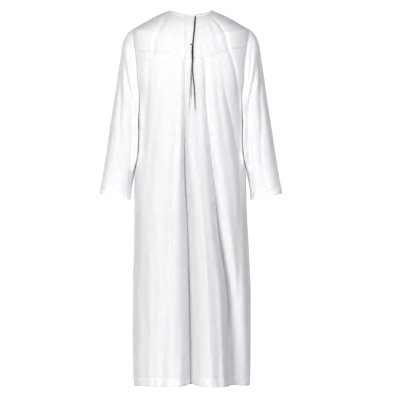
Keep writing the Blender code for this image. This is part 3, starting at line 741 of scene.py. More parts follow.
@dataclass(frozen=True)
class ThreadFinish:
    """Twisted thread with raised plies, its base colour lighter on the crests as a painted highlight and
    darker in the grooves as painted shade.
    """

    name: str
    colour: Colour
    painted_highlight: Colour
    roughness: float = 0.6
    sheen: float = 0.2
    ply: float = 1.1 * MM
    ply_depth: float = 0.2 * MM

    def material(self) -> bpy.types.Material:
        """Builds the finish as a node material on object coordinates."""
        art = Shading(self.name)
        place = art.add("TexCoord", {}).outputs["Object"]
        plies = art.bands(place, "DIAGONAL", self.ply, {"Distortion": 2.0})
        raised = art.add("Bump", {"Strength": 0.6, "Distance": self.ply_depth, "Height": plies})
        # The base colour follows the ply bumps' height: a painted highlight on each crest, painted shade in
        # each groove.
        return art.dress({
            "Base Color": art.mix(plies, self.colour, self.painted_highlight), "Roughness": self.roughness,
            "Sheen Weight": self.sheen, "Normal": raised.outputs["Normal"]})


class Workshop:
    """Turns grids and rings of points into finished pieces of the robe."""

    def __init__(self) -> None:
        """Makes the collection that the pieces go in."""
        self.collection = bpy.data.collections.new("thobe_robe")
        bpy.context.scene.collection.children.link(self.collection)

    def place(self, name: str, mesh: bpy.types.Mesh, material: bpy.types.Material,
              slot: str, node: str | None) -> bpy.types.Object:
        """Puts a finished mesh in the scene as a piece that rides on the robe.

        Args:
            name: The piece's name.
            mesh: Its mesh, in place.
            material: Its finish.
            slot: Not used.
            node: The CAD node that it stands for, if any.

        Returns:
            The piece.
        """
        mesh.materials.clear()
        mesh.materials.append(material)
        piece = bpy.data.objects.new(name, mesh)
        self.collection.objects.link(piece)
        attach(piece, "root")
        if node:
            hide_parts(node)
        LOG.info("%s: %d faces", name, len(mesh.polygons))
        return piece

    @staticmethod
    def mesh(name: str, points: Grid, faces: Sequence[Sequence[int]]) -> bpy.types.Mesh:
        """Smooth mesh from points and faces, its faces turned outwards.

        Args:
            name: The mesh's name.
            points: One row for each point.
            faces: Corners of each face.

        Returns:
            The mesh.
        """
        mesh = bpy.data.meshes.new(name)
        mesh.from_pydata(points.tolist(), [], faces)
        shaped = bmesh.new()
        shaped.from_mesh(mesh)
        bmesh.ops.recalc_face_normals(shaped, faces=shaped.faces)
        if shaped.calc_volume(signed=True) < 0:
            bmesh.ops.reverse_faces(shaped, faces=shaped.faces)
        shaped.to_mesh(mesh)
        shaped.free()
        mesh.shade_smooth()
        return mesh

    def shell(self, name: str, outer: Grid, inner: Grid, across: Grid, down: Grid,
              closed: bool = False) -> bpy.types.Mesh:
        """Thin closed shell between two grids of points, with a UV map in metres.

        Args:
            name: The mesh's name.
            outer: Outside points, rows by columns.
            inner: Inside points of the same shape.
            across: Way across the cloth at each point.
            down: Way down the cloth at each point.
            closed: Whether the columns go right round.

        Returns:
            The mesh.
        """
        rows, columns = outer.shape[:2]
        index = np.arange(rows * columns).reshape(rows, columns)
        inside = index + rows * columns
        spans = columns if closed else columns - 1
        here, here_in = index[:, :spans], inside[:, :spans]
        beside, beside_in = (np.roll(grid, -1, axis=1)[:, :spans] for grid in (index, inside))
        rims = [
            (here[:-1], beside[:-1], beside[1:], here[1:]),
            (here_in[1:], beside_in[1:], beside_in[:-1], here_in[:-1]),
            (here[:1], here_in[:1], beside_in[:1], beside[:1]),
            (here[-1:], beside[-1:], beside_in[-1:], here_in[-1:]),
        ]
        if not closed:
            first, first_in, last, last_in = index[:, :1], inside[:, :1], index[:, -1:], inside[:, -1:]
            rims.append((first[:-1], first[1:], first_in[1:], first_in[:-1]))
            rims.append((last[1:], last[:-1], last_in[:-1], last_in[1:]))
        quads = [np.stack(corners, axis=-1) for corners in rims]
        faces = np.concatenate([quad.reshape(-1, 4) for quad in quads])
        points = np.concatenate([outer.reshape(-1, 3), inner.reshape(-1, 3)])
        mesh = self.mesh(name, points, faces.tolist())
        mesh.set_sharp_from_angle(angle=math.radians(60))
        layer = mesh.uv_layers.new(name="cloth")
        uv = np.stack([across.reshape(-1), down.reshape(-1)], axis=-1)
        uv = np.concatenate([uv, uv])
        loop_vertex = np.zeros(len(mesh.loops), dtype=np.int64)
        mesh.loops.foreach_get("vertex_index", loop_vertex)
        layer.data.foreach_set("uv", uv[loop_vertex].astype(np.float32).ravel())
        return mesh

    def tube(self, name: str, rings: Grid) -> bpy.types.Mesh:
        """Closed tube through rings of points, with flat ends.

        Args:
            name: The mesh's name.
            rings: Rings by corners by three.

        Returns:
            The mesh.
        """
        count, corners = rings.shape[:2]
        faces = []
        for ring in range(count - 1):
            for corner in range(corners):
                other = (corner + 1) % corners
                faces.append((ring * corners + corner, ring * corners + other,
                              (ring + 1) * corners + other, (ring + 1) * corners + corner))
        faces.append(tuple(range(corners)))
        faces.append(tuple((count - 1) * corners + corner for corner in range(corners)))
        return self.mesh(name, rings.reshape(-1, 3), faces)


def spread(points: Grid) -> tuple[Grid, Grid]:
    """Ways across and down a grid of points, measured along it in metres.

    Args:
        points: Rows by columns by three.

    Returns:
        The two ways, each of the shape of the grid.
    """
    across = np.zeros(points.shape[:2])
    down = np.zeros(points.shape[:2])
    across[:, 1:] = np.cumsum(np.linalg.norm(np.diff(points, axis=1), axis=-1), axis=1)
    down[1:, :] = np.cumsum(np.linalg.norm(np.diff(points, axis=0), axis=-1), axis=0)
    return across, down


@dataclass
class BodyPanels:
    """The front, the back, the chest yokes, the opening band and the neck binding."""

    form: BodyForm
    shop: Workshop
    cloth: float = 1.0 * MM
    doubled: float = 1.9 * MM
    band_depth: float = 10 * MM
    opening_right: float = -18 * MM
    opening_left: float = 43.5 * MM
    opening_end: float = 280 * MM
    slit_x: float = 11 * MM
    slit_gap: float = 1.4 * MM
    front_columns: int = 190
    back_columns: int = 150
    yoke_columns: int = 70
    binding_crown: float = 0.9 * MM
    binding_wall: float = 1.4 * MM

    def shell(self, name: str, angles: Grid, stations: Grid, finish: bpy.types.Material, slot: str,
              flat: tuple[float, float], area: float, closed: bool = False) -> bpy.types.Object:
        """Builds one panel as a thin shell.

        Args:
            name: The CAD node that it stands for.
            angles: Body angle of each point.
            stations: Station of each point.
            finish: The cloth.
            slot: The record's slot.
            flat: Not used.
            area: Not used.
            closed: Whether the panel goes right round.

        Returns:
            The piece.
        """
        outer = self.form.surface(angles, stations)
        outward = -surface_normals(self.form.surface, angles, np.maximum(stations, PROBE))
        line = self.form.hem - self.form.hem_turn
        thick = self.cloth + (self.doubled - self.cloth) * soft_step(stations, line, line + 2 * MM)
        across, down = spread(outer)
        mesh = self.shop.shell(name, outer, outer - outward * thick[..., None], across, down, closed)
        piece = self.shop.place(name + "_cloth", mesh, finish, slot, name)
        return piece

    def front(self, finish: bpy.types.Material) -> bpy.types.Object:
        """The front panel, from the yoke seam and the armholes down to the hem.

        Args:
            finish: Its cloth.

        Returns:
            The piece.
        """
        form = self.form
        angles, stations = [], []
        seam_end = float(form.yoke_seam.at("station", -0.2))
        for share in np.linspace(0, 1, 46)[:-1]:
            guess = seam_end + (form.armpit - seam_end) * share
            line = form.columns(-math.pi / 2, math.pi / 2, self.front_columns, guess, Face.FRONT)
            shares = (line - line[0]) / (line[-1] - line[0])
            station = np.full(self.front_columns + 1, guess)
            for _ in range(8):
                right = form.edge_angle(Side.RIGHT, station, Face.FRONT)
                angle = right + (form.edge_angle(Side.LEFT, station, Face.FRONT) - right) * shares
                seam = form.yoke_seam.at("station", form.plain(angle, station)[..., 0])
                station = seam + (form.armpit - seam) * share
            angles.append(angle)
            stations.append(station)
        for level in self.levels(form.armpit, 5.6 * MM):
            right = float(form.edge_angle(Side.RIGHT, level, Face.FRONT))
            left = float(form.edge_angle(Side.LEFT, level, Face.FRONT))
            angles.append(form.columns(right, left, self.front_columns, level, Face.FRONT))
            stations.append(np.full(self.front_columns + 1, level))
        return self.shell("front_body", np.array(angles), np.array(stations), finish, "robe_cloth",
                          (0.73, 1.36), 0.826)

    def levels(self, start: float, step: float) -> Grid:
        """Stations from start to the hem, closer together in the turned hem.

        Args:
            start: First station.
            step: Longest way between two.

        Returns:
            The stations, rising.
        """
        line = self.form.hem - self.form.hem_turn
        upper = np.linspace(start, line - 8 * MM, int((line - start) / step))
        lower = np.linspace(line - 6 * MM, self.form.hem, 24)
        return np.concatenate([upper, lower])

    def back(self, finish: bpy.types.Material) -> bpy.types.Object:
        """The back panel, from the neck and the shoulder seams down to the hem.

        Args:
            finish: Its cloth.

        Returns:
            The piece.
        """
        form = self.form
        angles, stations = [], []
        upper = np.linspace(self.band_depth, form.armpit, 84)[:-1]
        for level in np.concatenate([upper, self.levels(form.armpit, 5.8 * MM)]):
            left = float(form.edge_angle(Side.LEFT, level, Face.BACK))
            right = float(form.edge_angle(Side.RIGHT, level, Face.BACK)) % (2 * math.pi)
            angles.append(form.columns(left, right, self.back_columns, level, Face.BACK))
            stations.append(np.full(self.back_columns + 1, level))
        return self.shell("back_body", np.array(angles), np.array(stations), finish, "robe_cloth",
                          (0.67, 1.52), 0.826)

    def yoke(self, side: Side, finish: bpy.types.Material) -> bpy.types.Object:
        """The chest yoke of one side, from the neck and the shoulder to its seam.

        Args:
            side: The wearer's side.
            finish: Its cloth.

        Returns:
            The piece.
        """
        form = self.form
        opening = self.opening_right if side is Side.RIGHT else self.opening_left
        seam_end = float(form.yoke_seam.at("station", side.value * 0.2))
        shares = np.linspace(0, 1, self.yoke_columns + 1)
        angles, stations = [], []
        for share in np.linspace(0, 1, 64):
            station = np.full(self.yoke_columns + 1, self.band_depth + (seam_end - self.band_depth) * share)
            for _ in range(8):
                outside = form.edge_angle(side, station, Face.FRONT)
                angle = outside + (form.angle_at_x(opening, station) - outside) * shares
                seam = form.yoke_seam.at("station", form.plain(angle, station)[..., 0])
                station = self.band_depth + (seam - self.band_depth) * share
            angles.append(angle)
            stations.append(station)
        name, area = ("yoke_right", 0.0395) if side is Side.RIGHT else ("yoke_left", 0.0355)
        return self.shell(name, np.array(angles), np.array(stations), finish, "robe_cloth",
                          (0.25, 0.22), area)

    def placket(self, side: Side, finish: bpy.types.Material) -> bpy.types.Object:
        """One half of the band that edges the front opening.

        Args:
            side: The wearer's side.
            finish: Its cloth.

        Returns:
            The piece.
        """
        form = self.form
        if side is Side.RIGHT:
            name, low_x, high_x = "placket_right", self.opening_right, self.slit_x - self.slit_gap / 2
        else:
            name, low_x, high_x = "placket_left", self.slit_x + self.slit_gap / 2, self.opening_left
        shares = np.linspace(0, 1, 26)
        angles, stations = [], []
        for level in np.linspace(self.band_depth, self.opening_end, 80):
            low = float(form.angle_at_x(low_x, level))
            high = float(form.angle_at_x(high_x, level))
            angles.append(low + (high - low) * shares)
            stations.append(np.full(len(shares), level))
        return self.shell(name, np.array(angles), np.array(stations), finish, "robe_cloth",
                          (high_x - low_x, 0.178), (high_x - low_x) * 0.176)

    def neckband(self, finish: bpy.types.Material) -> bpy.types.Object:
        """The narrow rolled binding round the neck.

        Args:
            finish: Its cloth.

        Returns:
            The piece.
        """
        turn = np.linspace(-math.pi, math.pi, 220, endpoint=False)
        levels = np.linspace(0, self.band_depth, 9)
        angles, stations = np.meshgrid(turn, levels)
        plain = self.form.surface(angles, stations)
        outward = -surface_normals(self.form.surface, angles, np.maximum(stations, PROBE))
        share = (levels / self.band_depth)[:, None]
        crown = self.binding_crown * np.sqrt(np.clip(1 - (2 * share - 1) ** 2, 0, 1))
        outer = plain + outward * crown[..., None]
        inner = plain - outward * (self.binding_wall + crown)[..., None]
        across, down = spread(outer)
        mesh = self.shop.shell("neckband", outer, inner, across, down, closed=True)
        piece = self.shop.place("neckband_cloth", mesh, finish, "binding_cloth", "neckband")
        return piece


@dataclass
class SleevePair:
    """The two sleeves, each a tube from its armhole to its open cuff."""

    form: BodyForm
    shop: Workshop
    cloth: float = 1.0 * MM
    doubled: float = 1.9 * MM
    cap: float = 0.16
    cuff_turn: float = 0.044
    power: float = 2.25
    columns: int = 150
    rows: int = 210
    # Small waves of the cloth, along a round of this radius
    girth_radius: float = 60 * MM
    ripple_depth: float = 0.9 * MM
    crumple_depth: float = 0.25 * MM
    # How far the seams pull the cloth in, with widths as shares of the sleeve's length
    cuff_pucker: float = 1.0 * MM
    cuff_pucker_width: float = 0.0085
    cuff_valley: float = 1.2 * MM
    cuff_valley_width: float = 0.00327
    cuff_swell: float = 0.3 * MM
    cuff_rim: float = 1.3 * MM
    cuff_rim_width: float = 0.004
    armhole_valley: float = 0.9 * MM
    armhole_valley_width: float = 0.006
    underarm_valley: float = 0.7 * MM
    underarm_valley_width: float = 0.035
    sections: Rows = (
        (0, 222, -74, 199.5, -400, 71, 0),
        (40, 255.0, -94.5, 201.0, -409, 73, 0),
        (110, 262.5, -121, 201.5, -424, 73, 0),
        (200, 271.5, -184, 201.8, -446, 71, 0),
        (290, 280.0, -239, 200.8, -470, 69, 1),
        (390, 290.0, -308, 201.5, -502, 66, 3),
        (560, 309.3, -436, 205.0, -561, 61, 7),
        (720, 326.5, -555, 213.5, -614, 56, 11),
        (860, 338.5, -630, 224.5, -672, 52, 15),
        (1000, 353.4, -708.5, 232.5, -733.5, 49, 19),
    )
    # Creases as seen from the front or the back: height, distance from the middle, depth, widths
    front_creases: Sequence[Fold] = (
        Fold("outer_trough", (
            (-700, 292, 0, 9, 9), (-650, 284, 2.5, 9, 9), (-590, 274, 4.0, 9, 9), (-530, 270, 4.5, 9, 9),
            (-430, 273, 4.5, 9, 9), (-320, 270, 5.5, 8, 8), (-262, 271, 6.0, 7, 8), (-205, 270, 5.0, 7, 7),
            (-160, 262, 0, 7, 7))),
        Fold("armpit_fold", (
            (-720, 240, 0, 9, 10), (-650, 232, 3.0, 9, 10), (-560, 225, 4.0, 9, 10), (-470, 222, 5.0, 9, 10),
            (-374, 223, 6.0, 8, 9), (-320, 233, 7.0, 7, 9), (-266, 245, 6.0, 7, 8), (-215, 252, 4.0, 7, 8),
            (-160, 256, 0, 7, 8))),
        Fold("head_fold", (
            (-330, 214, 0, 6, 6), (-270, 224, 3.0, 6, 6), (-210, 232, 3.0, 6, 6), (-150, 236, 1.5, 6, 6),
            (-110, 238, 0, 6, 6))),
        Fold("cuff_fold", (
            (-735, 300, 2.5, 8, 8), (-690, 297, 2.5, 8, 8), (-620, 292, 1.5, 8, 8), (-560, 288, 0, 8, 8))),
    )
    back_creases: Sequence[Fold] = (
        Fold("back_outer_trough", (
            (-690, 300, 0, 9, 9), (-600, 288, 3.5, 9, 9), (-480, 276, 4.5, 9, 9), (-340, 268, 5.0, 9, 9),
            (-240, 262, 3.5, 8, 8), (-170, 256, 0, 8, 8))),
        Fold("elbow_fold", (
            (-640, 250, 0, 9, 9), (-560, 244, 4.0, 9, 9), (-450, 236, 5.0, 9, 9), (-350, 230, 6.0, 8, 9),
            (-260, 240, 4.0, 8, 8), (-190, 246, 0, 8, 8))),
        Fold("back_cuff_fold", (
            (-735, 276, 2.0, 8, 8), (-680, 274, 2.4, 8, 8), (-600, 268, 0, 8, 8))),
    )

    def __post_init__(self) -> None:
        """Reads the rows into tables."""
        names = "along outer_x outer_z inner_x inner_z depth forward"
        self.section = SmoothTable(names, self.sections, runs_on=True)
        self.creases = {Face.FRONT: FoldSet(self.front_creases, 2.0),
                        Face.BACK: FoldSet(self.back_creases, 2.0)}
        self.ripples = {side: Ripple(seed, (22 * MM, 60 * MM), 4.0) for seed, side in enumerate(Side, 21)}
        self.crumples = {side: Ripple(seed, (10 * MM, 24 * MM), 1.4) for seed, side in enumerate(Side, 23)}

    def armhole(self, side: Side, turn: Grid) -> Grid:
        """Points of the armhole's edge at the turns round the sleeve.

        Args:
            side: The wearer's side.
            turn: Turns round the sleeve.

        Returns:
            The points.
        """
        form = self.form
        station = form.shoulder_point + (form.armpit - form.shoulder_point) * (1 - np.cos(turn)) / 2
        ahead = form.edge_angle(side, station, Face.FRONT)
        behind = form.edge_angle(side, station, Face.BACK)
        return form.draped(np.where(np.sin(turn) >= 0, ahead, behind), station)

    def plain(self, side: Side, turn: Grid, along: Grid) -> Grid:
        """Points of the sleeve's plain surface.

        Args:
            side: The wearer's side.
            turn: Turn round the sleeve, from its outer edge over the front.
            along: Way along it, from 0 at the armhole to 1 at the cuff.

        Returns:
            The points.
        """
        table = self.section
        outer = np.stack([table.at("outer_x", along), table.at("outer_z", along)], axis=-1)
        inner = np.stack([table.at("inner_x", along), table.at("inner_z", along)], axis=-1)
        cosine, sine = np.cos(turn), np.sin(turn)
        radius = (np.abs(cosine) ** self.power + np.abs(sine) ** self.power) ** (-1 / self.power)
        flat = 0.5 * (outer + inner) + 0.5 * (outer - inner) * (radius * cosine)[..., None]
        y = -table.at("forward", along) - table.at("depth", along) * radius * sine
        hung = np.stack([side.value * flat[..., 0], y, flat[..., 1]], axis=-1)
        start = self.armhole(side, turn)
        mixed = 1 - (1 - np.clip(along / self.cap, 0.0, 1.0)) ** 2
        return start + (hung - start) * mixed[..., None]

    def surface(self, side: Side, turn: Grid, along: Grid) -> Grid:
        """Points of the sleeve's outside, with its creases and its puckered cuff.

        Args:
            side: The wearer's side.
            turn: Turn round the sleeve.
            along: Way along it, from 0 to 1.

        Returns:
            The points.
        """
        def plain(t: Grid, a: Grid) -> Grid:
            """The plain surface of this side's sleeve."""
            return self.plain(side, t, a)

        point = plain(turn, along)
        outward = side.value * surface_normals(plain, turn, along)
        reach = np.abs(point[..., 0])
        height = point[..., 2]
        ahead = np.sin(turn) > 0
        facing = soft_step(np.abs(np.sin(turn)), 0.12, 0.5)
        depth = np.where(ahead, self.creases[Face.FRONT].depth(reach, height),
                         self.creases[Face.BACK].depth(reach, height)) * facing
        around = turn * self.girth_radius
        waved = soft_step(along, 0.0, 0.2)
        for offset in (0.0, 2 * math.pi * self.girth_radius):
            share = np.where(offset == 0.0, 1 - turn / (2 * math.pi), turn / (2 * math.pi)) * waved
            place = (around - offset, along * 0.6)
            depth = depth + share * self.ripple_depth * self.ripples[side].at(*place)
            depth = depth + share * self.crumple_depth * self.crumples[side].at(*place)
        line = 1 - self.cuff_turn
        off = along - line
        below = soft_step(along, line, line + 0.01)
        pucker = self.form.pucker.at(around * 1.1 - 0.3 * off, along)
        depth = depth + self.cuff_pucker * pucker * (bell(off, self.cuff_pucker_width) + 0.6 * below)
        depth = depth + self.cuff_valley * bell(off, self.cuff_valley_width) - self.cuff_swell * below
        depth = depth + self.cuff_rim * bell(1 - along, self.cuff_rim_width)
        depth = depth + self.armhole_valley * bell(along, self.armhole_valley_width)
        underarm = bell(turn - math.pi, self.underarm_valley_width) * soft_step(along, 0.02, 0.05)
        depth = depth + self.underarm_valley * underarm
        return self.form.pressed(point - outward * depth[..., None])

    def build(self, side: Side, finish: bpy.types.Material) -> bpy.types.Object:
        """Builds one sleeve.

        Args:
            side: The wearer's side.
            finish: Its cloth.

        Returns:
            The piece.
        """
        turn = np.linspace(0, 2 * math.pi, self.columns, endpoint=False)
        line = 1 - self.cuff_turn
        along = np.concatenate([
            np.linspace(0, 0.16, 44)[:-1], np.linspace(0.16, line - 0.02, self.rows - 84),
            np.linspace(line - 0.015, 1.0, 40),
        ])
        turns, ways = np.meshgrid(turn, along)

        def surface(t: Grid, a: Grid) -> Grid:
            """The creased surface of this side's sleeve."""
            return self.surface(side, t, a)

        outer = surface(turns, ways)
        outward = side.value * surface_normals(surface, turns, np.clip(ways, 2 * PROBE, 1 - 2 * PROBE))
        thick = self.cloth + (self.doubled - self.cloth) * soft_step(ways, line, line + 0.004)
        across, down = spread(outer)
        name = "sleeve_right" if side is Side.RIGHT else "sleeve_left"
        mesh = self.shop.shell(name, outer, outer - outward * thick[..., None], across, down, closed=True)
        piece = self.shop.place(name + "_cloth", mesh, finish, "robe_cloth", name)
        return piece


@dataclass
class HangingTassel:
    """The cord from the neck edge, its knot in a thread loop, and the bound tassel."""

    form: BodyForm
    shop: Workshop
    lie_gap: float = 0.35 * MM
    cord_radius: float = 1.6 * MM
    head_radius: float = 2.5 * MM
    head_length: float = 44 * MM
    thread_radius: float = 0.24 * MM
    thread_length: float = 236 * MM
    knot_radius: float = 2.4 * MM
    knot_x: float = 1.5 * MM
    knot_station: float = 208 * MM
    loop_radius: float = 3.6 * MM
    loop_thread: float = 0.55 * MM
    cord_twist: float = 9 * MM
    head_winding: float = 1.3 * MM
    bunch_start: float = 1.6
    stray: float = 0.35
    cord_route: Rows = ((5, 18.3), (60, 16.5), (120, 14.0), (175, 10.8), (219, 7.8))
    tassel_route: Rows = (
        (219, 7.8), (240, 7.0), (262, 6.6), (300, 8.0), (345, 8.4), (425, 9.4), (505, 10.6))
    # Bunches of loose threads: how many, how long as a share, how far they spread, and the place
    # across of each bunch at even steps down it, in millimetres from the tassel's middle line
    bunches: Sequence[tuple[int, float, float, Sequence[float]]] = (
        (9, 1.0, 0.55, (0.5, 2.2, 0.2, 0.6, 2.6, 4.6, 5.6, 6.2, 6.6)),
        (3, 0.8, 0.3, (-0.2, -0.8, -2.0, -4.4, -6.6, -7.2, -5.6, -5.0, -5.4)),
        (3, 1.0, 0.3, (-0.3, 0.2, -1.4, -2.8, -5.2, -8.6, -10.4, -11.6, -12.0)),
    )
    head_profile: Rows = (
        (0, 0.42), (0.06, 0.95), (0.14, 1.0), (0.2, 0.66), (0.4, 0.74), (0.8, 0.86), (0.94, 1.0), (1, 0.97))

    def __post_init__(self) -> None:
        """Reads the rows into tables."""
        self.cord_table = SmoothTable("station x", self.cord_route)
        self.tassel_table = SmoothTable("station x", self.tassel_route)
        self.head_table = SmoothTable("down radius", self.head_profile, unit=1.0)

    def frame_at(self, x: float, station: float, lift: float) -> tuple[Grid, Grid, Grid]:
        """Place in front of the cloth.

        Args:
            x: Place across.
            station: Way down the side.
            lift: Height over the plain cloth.

        Returns:
            The point, the outward direction and the sideways direction.
        """
        angle = np.array([float(self.form.angle_at_x(x, station))])
        at = np.array([float(station)])

        def smooth_cloth(a: Grid, s: Grid) -> Grid:
            """The body's plain surface with its folds, without its creases."""
            point = self.form.plain(a, s)
            outward = -surface_normals(self.form.plain, a, s)
            return point - outward * self.form.folds[Face.FRONT].depth(point[..., 0], s)[..., None]

        outward = -surface_normals(smooth_cloth, angle, at)[0]
        sideways = np.cross(outward, (0.0, 0.0, -1.0))
        sideways /= np.linalg.norm(sideways)
        return smooth_cloth(angle, at)[0] + outward * lift, outward, sideways

    @staticmethod
    def ring(centre: Grid, radius: Grid, turns: Grid, first: Grid, second: Grid) -> Grid:
        """Points round a centre, at the turns from the first direction to the second."""
        flat = np.cos(turns)[:, None] * first + np.sin(turns)[:, None] * second
        return centre + np.broadcast_to(radius, turns.shape)[:, None] * flat

    def cord(self, finish: bpy.types.Material) -> bpy.types.Object:
        """The twisted cord, with its length along its middle logged.

        Args:
            finish: Its thread.

        Returns:
            The piece.
        """
        first, last = self.cord_table.key[0], self.cord_table.key[-1]
        stations = np.linspace(first, last, 160)
        rings, path = [], []
        turns = np.linspace(0, 2 * math.pi, 16, endpoint=False)
        for index, station in enumerate(stations):
            x = float(self.cord_table.at("x", station))
            centre, outward, sideways = self.frame_at(x, station, self.cord_radius + self.lie_gap)
            twist = 2 * math.pi * (station - first) / self.cord_twist
            radius = self.cord_radius * (1 - 0.11 * (0.5 + 0.5 * np.cos(3 * (turns - twist))))
            rings.append(self.ring(centre, radius, turns, sideways, outward))
            if index % 6 == 0 or index == len(stations) - 1:
                path.append(centre)
        mesh = self.shop.tube("tassel_cord", np.array(rings))
        piece = self.shop.place("hanging_cord", mesh, finish, "tassel_thread", "tassel_cord")
        length = float(sum(np.linalg.norm(b - a) for a, b in zip(path, path[1:])))
        LOG.info("hanging cord: %.1f mm long", length / MM)
        return piece

    def knot(self, finish: bpy.types.Material) -> bpy.types.Object:
        """The small wound knot, its windings raised.

        Args:
            finish: Its thread.

        Returns:
            The piece.
        """
        lift = self.knot_radius + self.lie_gap
        centre, outward, sideways = self.frame_at(self.knot_x, self.knot_station, lift)
        upward = np.cross(outward, sideways)
        turns = np.linspace(0, 2 * math.pi, 28, endpoint=False)
        rings = []
        for share in np.linspace(0.02, 0.98, 26):
            polar = math.pi * share
            wound = 1 + 0.06 * np.cos(9 * polar + 2 * turns)
            radius = self.knot_radius * math.sin(polar) * wound
            middle = centre + self.knot_radius * math.cos(polar) * upward
            rings.append(self.ring(middle, radius, turns, sideways, outward))
        mesh = self.shop.tube("tassel_knot", np.array(rings))
        return self.shop.place("cord_knot", mesh, finish, "tassel_thread", "tassel_knot")

    def loop(self, finish: bpy.types.Material) -> bpy.types.Object:
        """The thread loop round the knot, twisted from two plies.

        Args:
            finish: Its thread.

        Returns:
            The piece.
        """
        lift = self.loop_thread + self.lie_gap
        centre, outward, sideways = self.frame_at(self.knot_x, self.knot_station, lift)
        upward = np.cross(outward, sideways)
        around, section = 120, 10
        small = np.linspace(0, 2 * math.pi, section, endpoint=False)
        points = []
        for turn in np.linspace(0, 2 * math.pi, around, endpoint=False):
            spoke = math.cos(turn) * sideways + math.sin(turn) * upward
            middle = centre + self.loop_radius * spoke
            radius = self.loop_thread * (1 - 0.14 * (0.5 + 0.5 * np.cos(2 * small - 14 * turn)))
            points.append(self.ring(middle, radius, small, spoke, outward))
        faces = []
        for ring in range(around):
            for corner in range(section):
                after = (ring + 1) % around * section
                other = (corner + 1) % section
                faces.append((ring * section + corner, ring * section + other, after + other, after + corner))
        mesh = self.shop.mesh("button_loop", np.array(points).reshape(-1, 3), faces)
        return self.shop.place("thread_loop", mesh, finish, "loop_thread", "button_loop")

    def tassel(self, finish: bpy.types.Material) -> bpy.types.Object:
        """The bound head and the loose threads that hang out of it.

        Args:
            finish: Its thread.

        Returns:
            The piece.
        """
        draw = np.random.default_rng(31)
        top = self.cord_table.key[-1] + self.lie_gap
        lift = self.head_radius + self.lie_gap
        turns = np.linspace(0, 2 * math.pi, 20, endpoint=False)
        rings = []
        for share in np.linspace(0, 1, 90):
            station = top + share * self.head_length
            x = float(self.tassel_table.at("x", station))
            centre, outward, sideways = self.frame_at(x, station, lift)
            wound = 1 + 0.05 * math.cos(2 * math.pi * share * self.head_length / self.head_winding)
            radius = self.head_radius * float(self.head_table.at("radius", share)) * wound
            rings.append(self.ring(centre, radius, turns, sideways, outward))
        meshes = [self.shop.tube("head", np.array(rings))]
        foot = top + self.head_length
        corners = np.linspace(0, 2 * math.pi, 5, endpoint=False)
        for amount, share_long, spread_out, places in self.bunches:
            steps = np.linspace(0, 1, len(places))
            for _ in range(amount):
                turn, root = draw.uniform(0, 2 * math.pi), math.sqrt(draw.uniform(0, 1))
                aside, out = root * math.cos(turn), root * math.sin(turn)
                length = self.thread_length * share_long * draw.uniform(0.8, 1.0)
                curl, phase = draw.uniform(6, 14), draw.uniform(0, 6.28)
                rings = []
                for share in np.linspace(0, 1, 44):
                    station = foot - 1.5 * MM + share * length
                    apart = self.bunch_start - (self.bunch_start - spread_out) * min(1.0, 5 * share)
                    x = float(self.tassel_table.at("x", station))
                    x += float(np.interp(share, steps, places)) * MM
                    x += (aside * apart + self.stray * share * math.sin(curl * share + phase)) * MM
                    lifted = lift + (0.4 + out * apart) * MM
                    centre, outward, sideways = self.frame_at(x, station, lifted)
                    radius = self.thread_radius * (1 - 0.4 * share)
                    rings.append(self.ring(centre, radius, corners, sideways, outward))
                meshes.append(self.shop.tube("thread", np.array(rings)))
        joined = bmesh.new()
        for mesh in meshes:
            joined.from_mesh(mesh)
            bpy.data.meshes.remove(mesh)
        whole = bpy.data.meshes.new("tassel")
        joined.to_mesh(whole)
        joined.free()
        whole.shade_smooth()
        return self.shop.place("tassel_threads", whole, finish, "tassel_thread", "tassel")


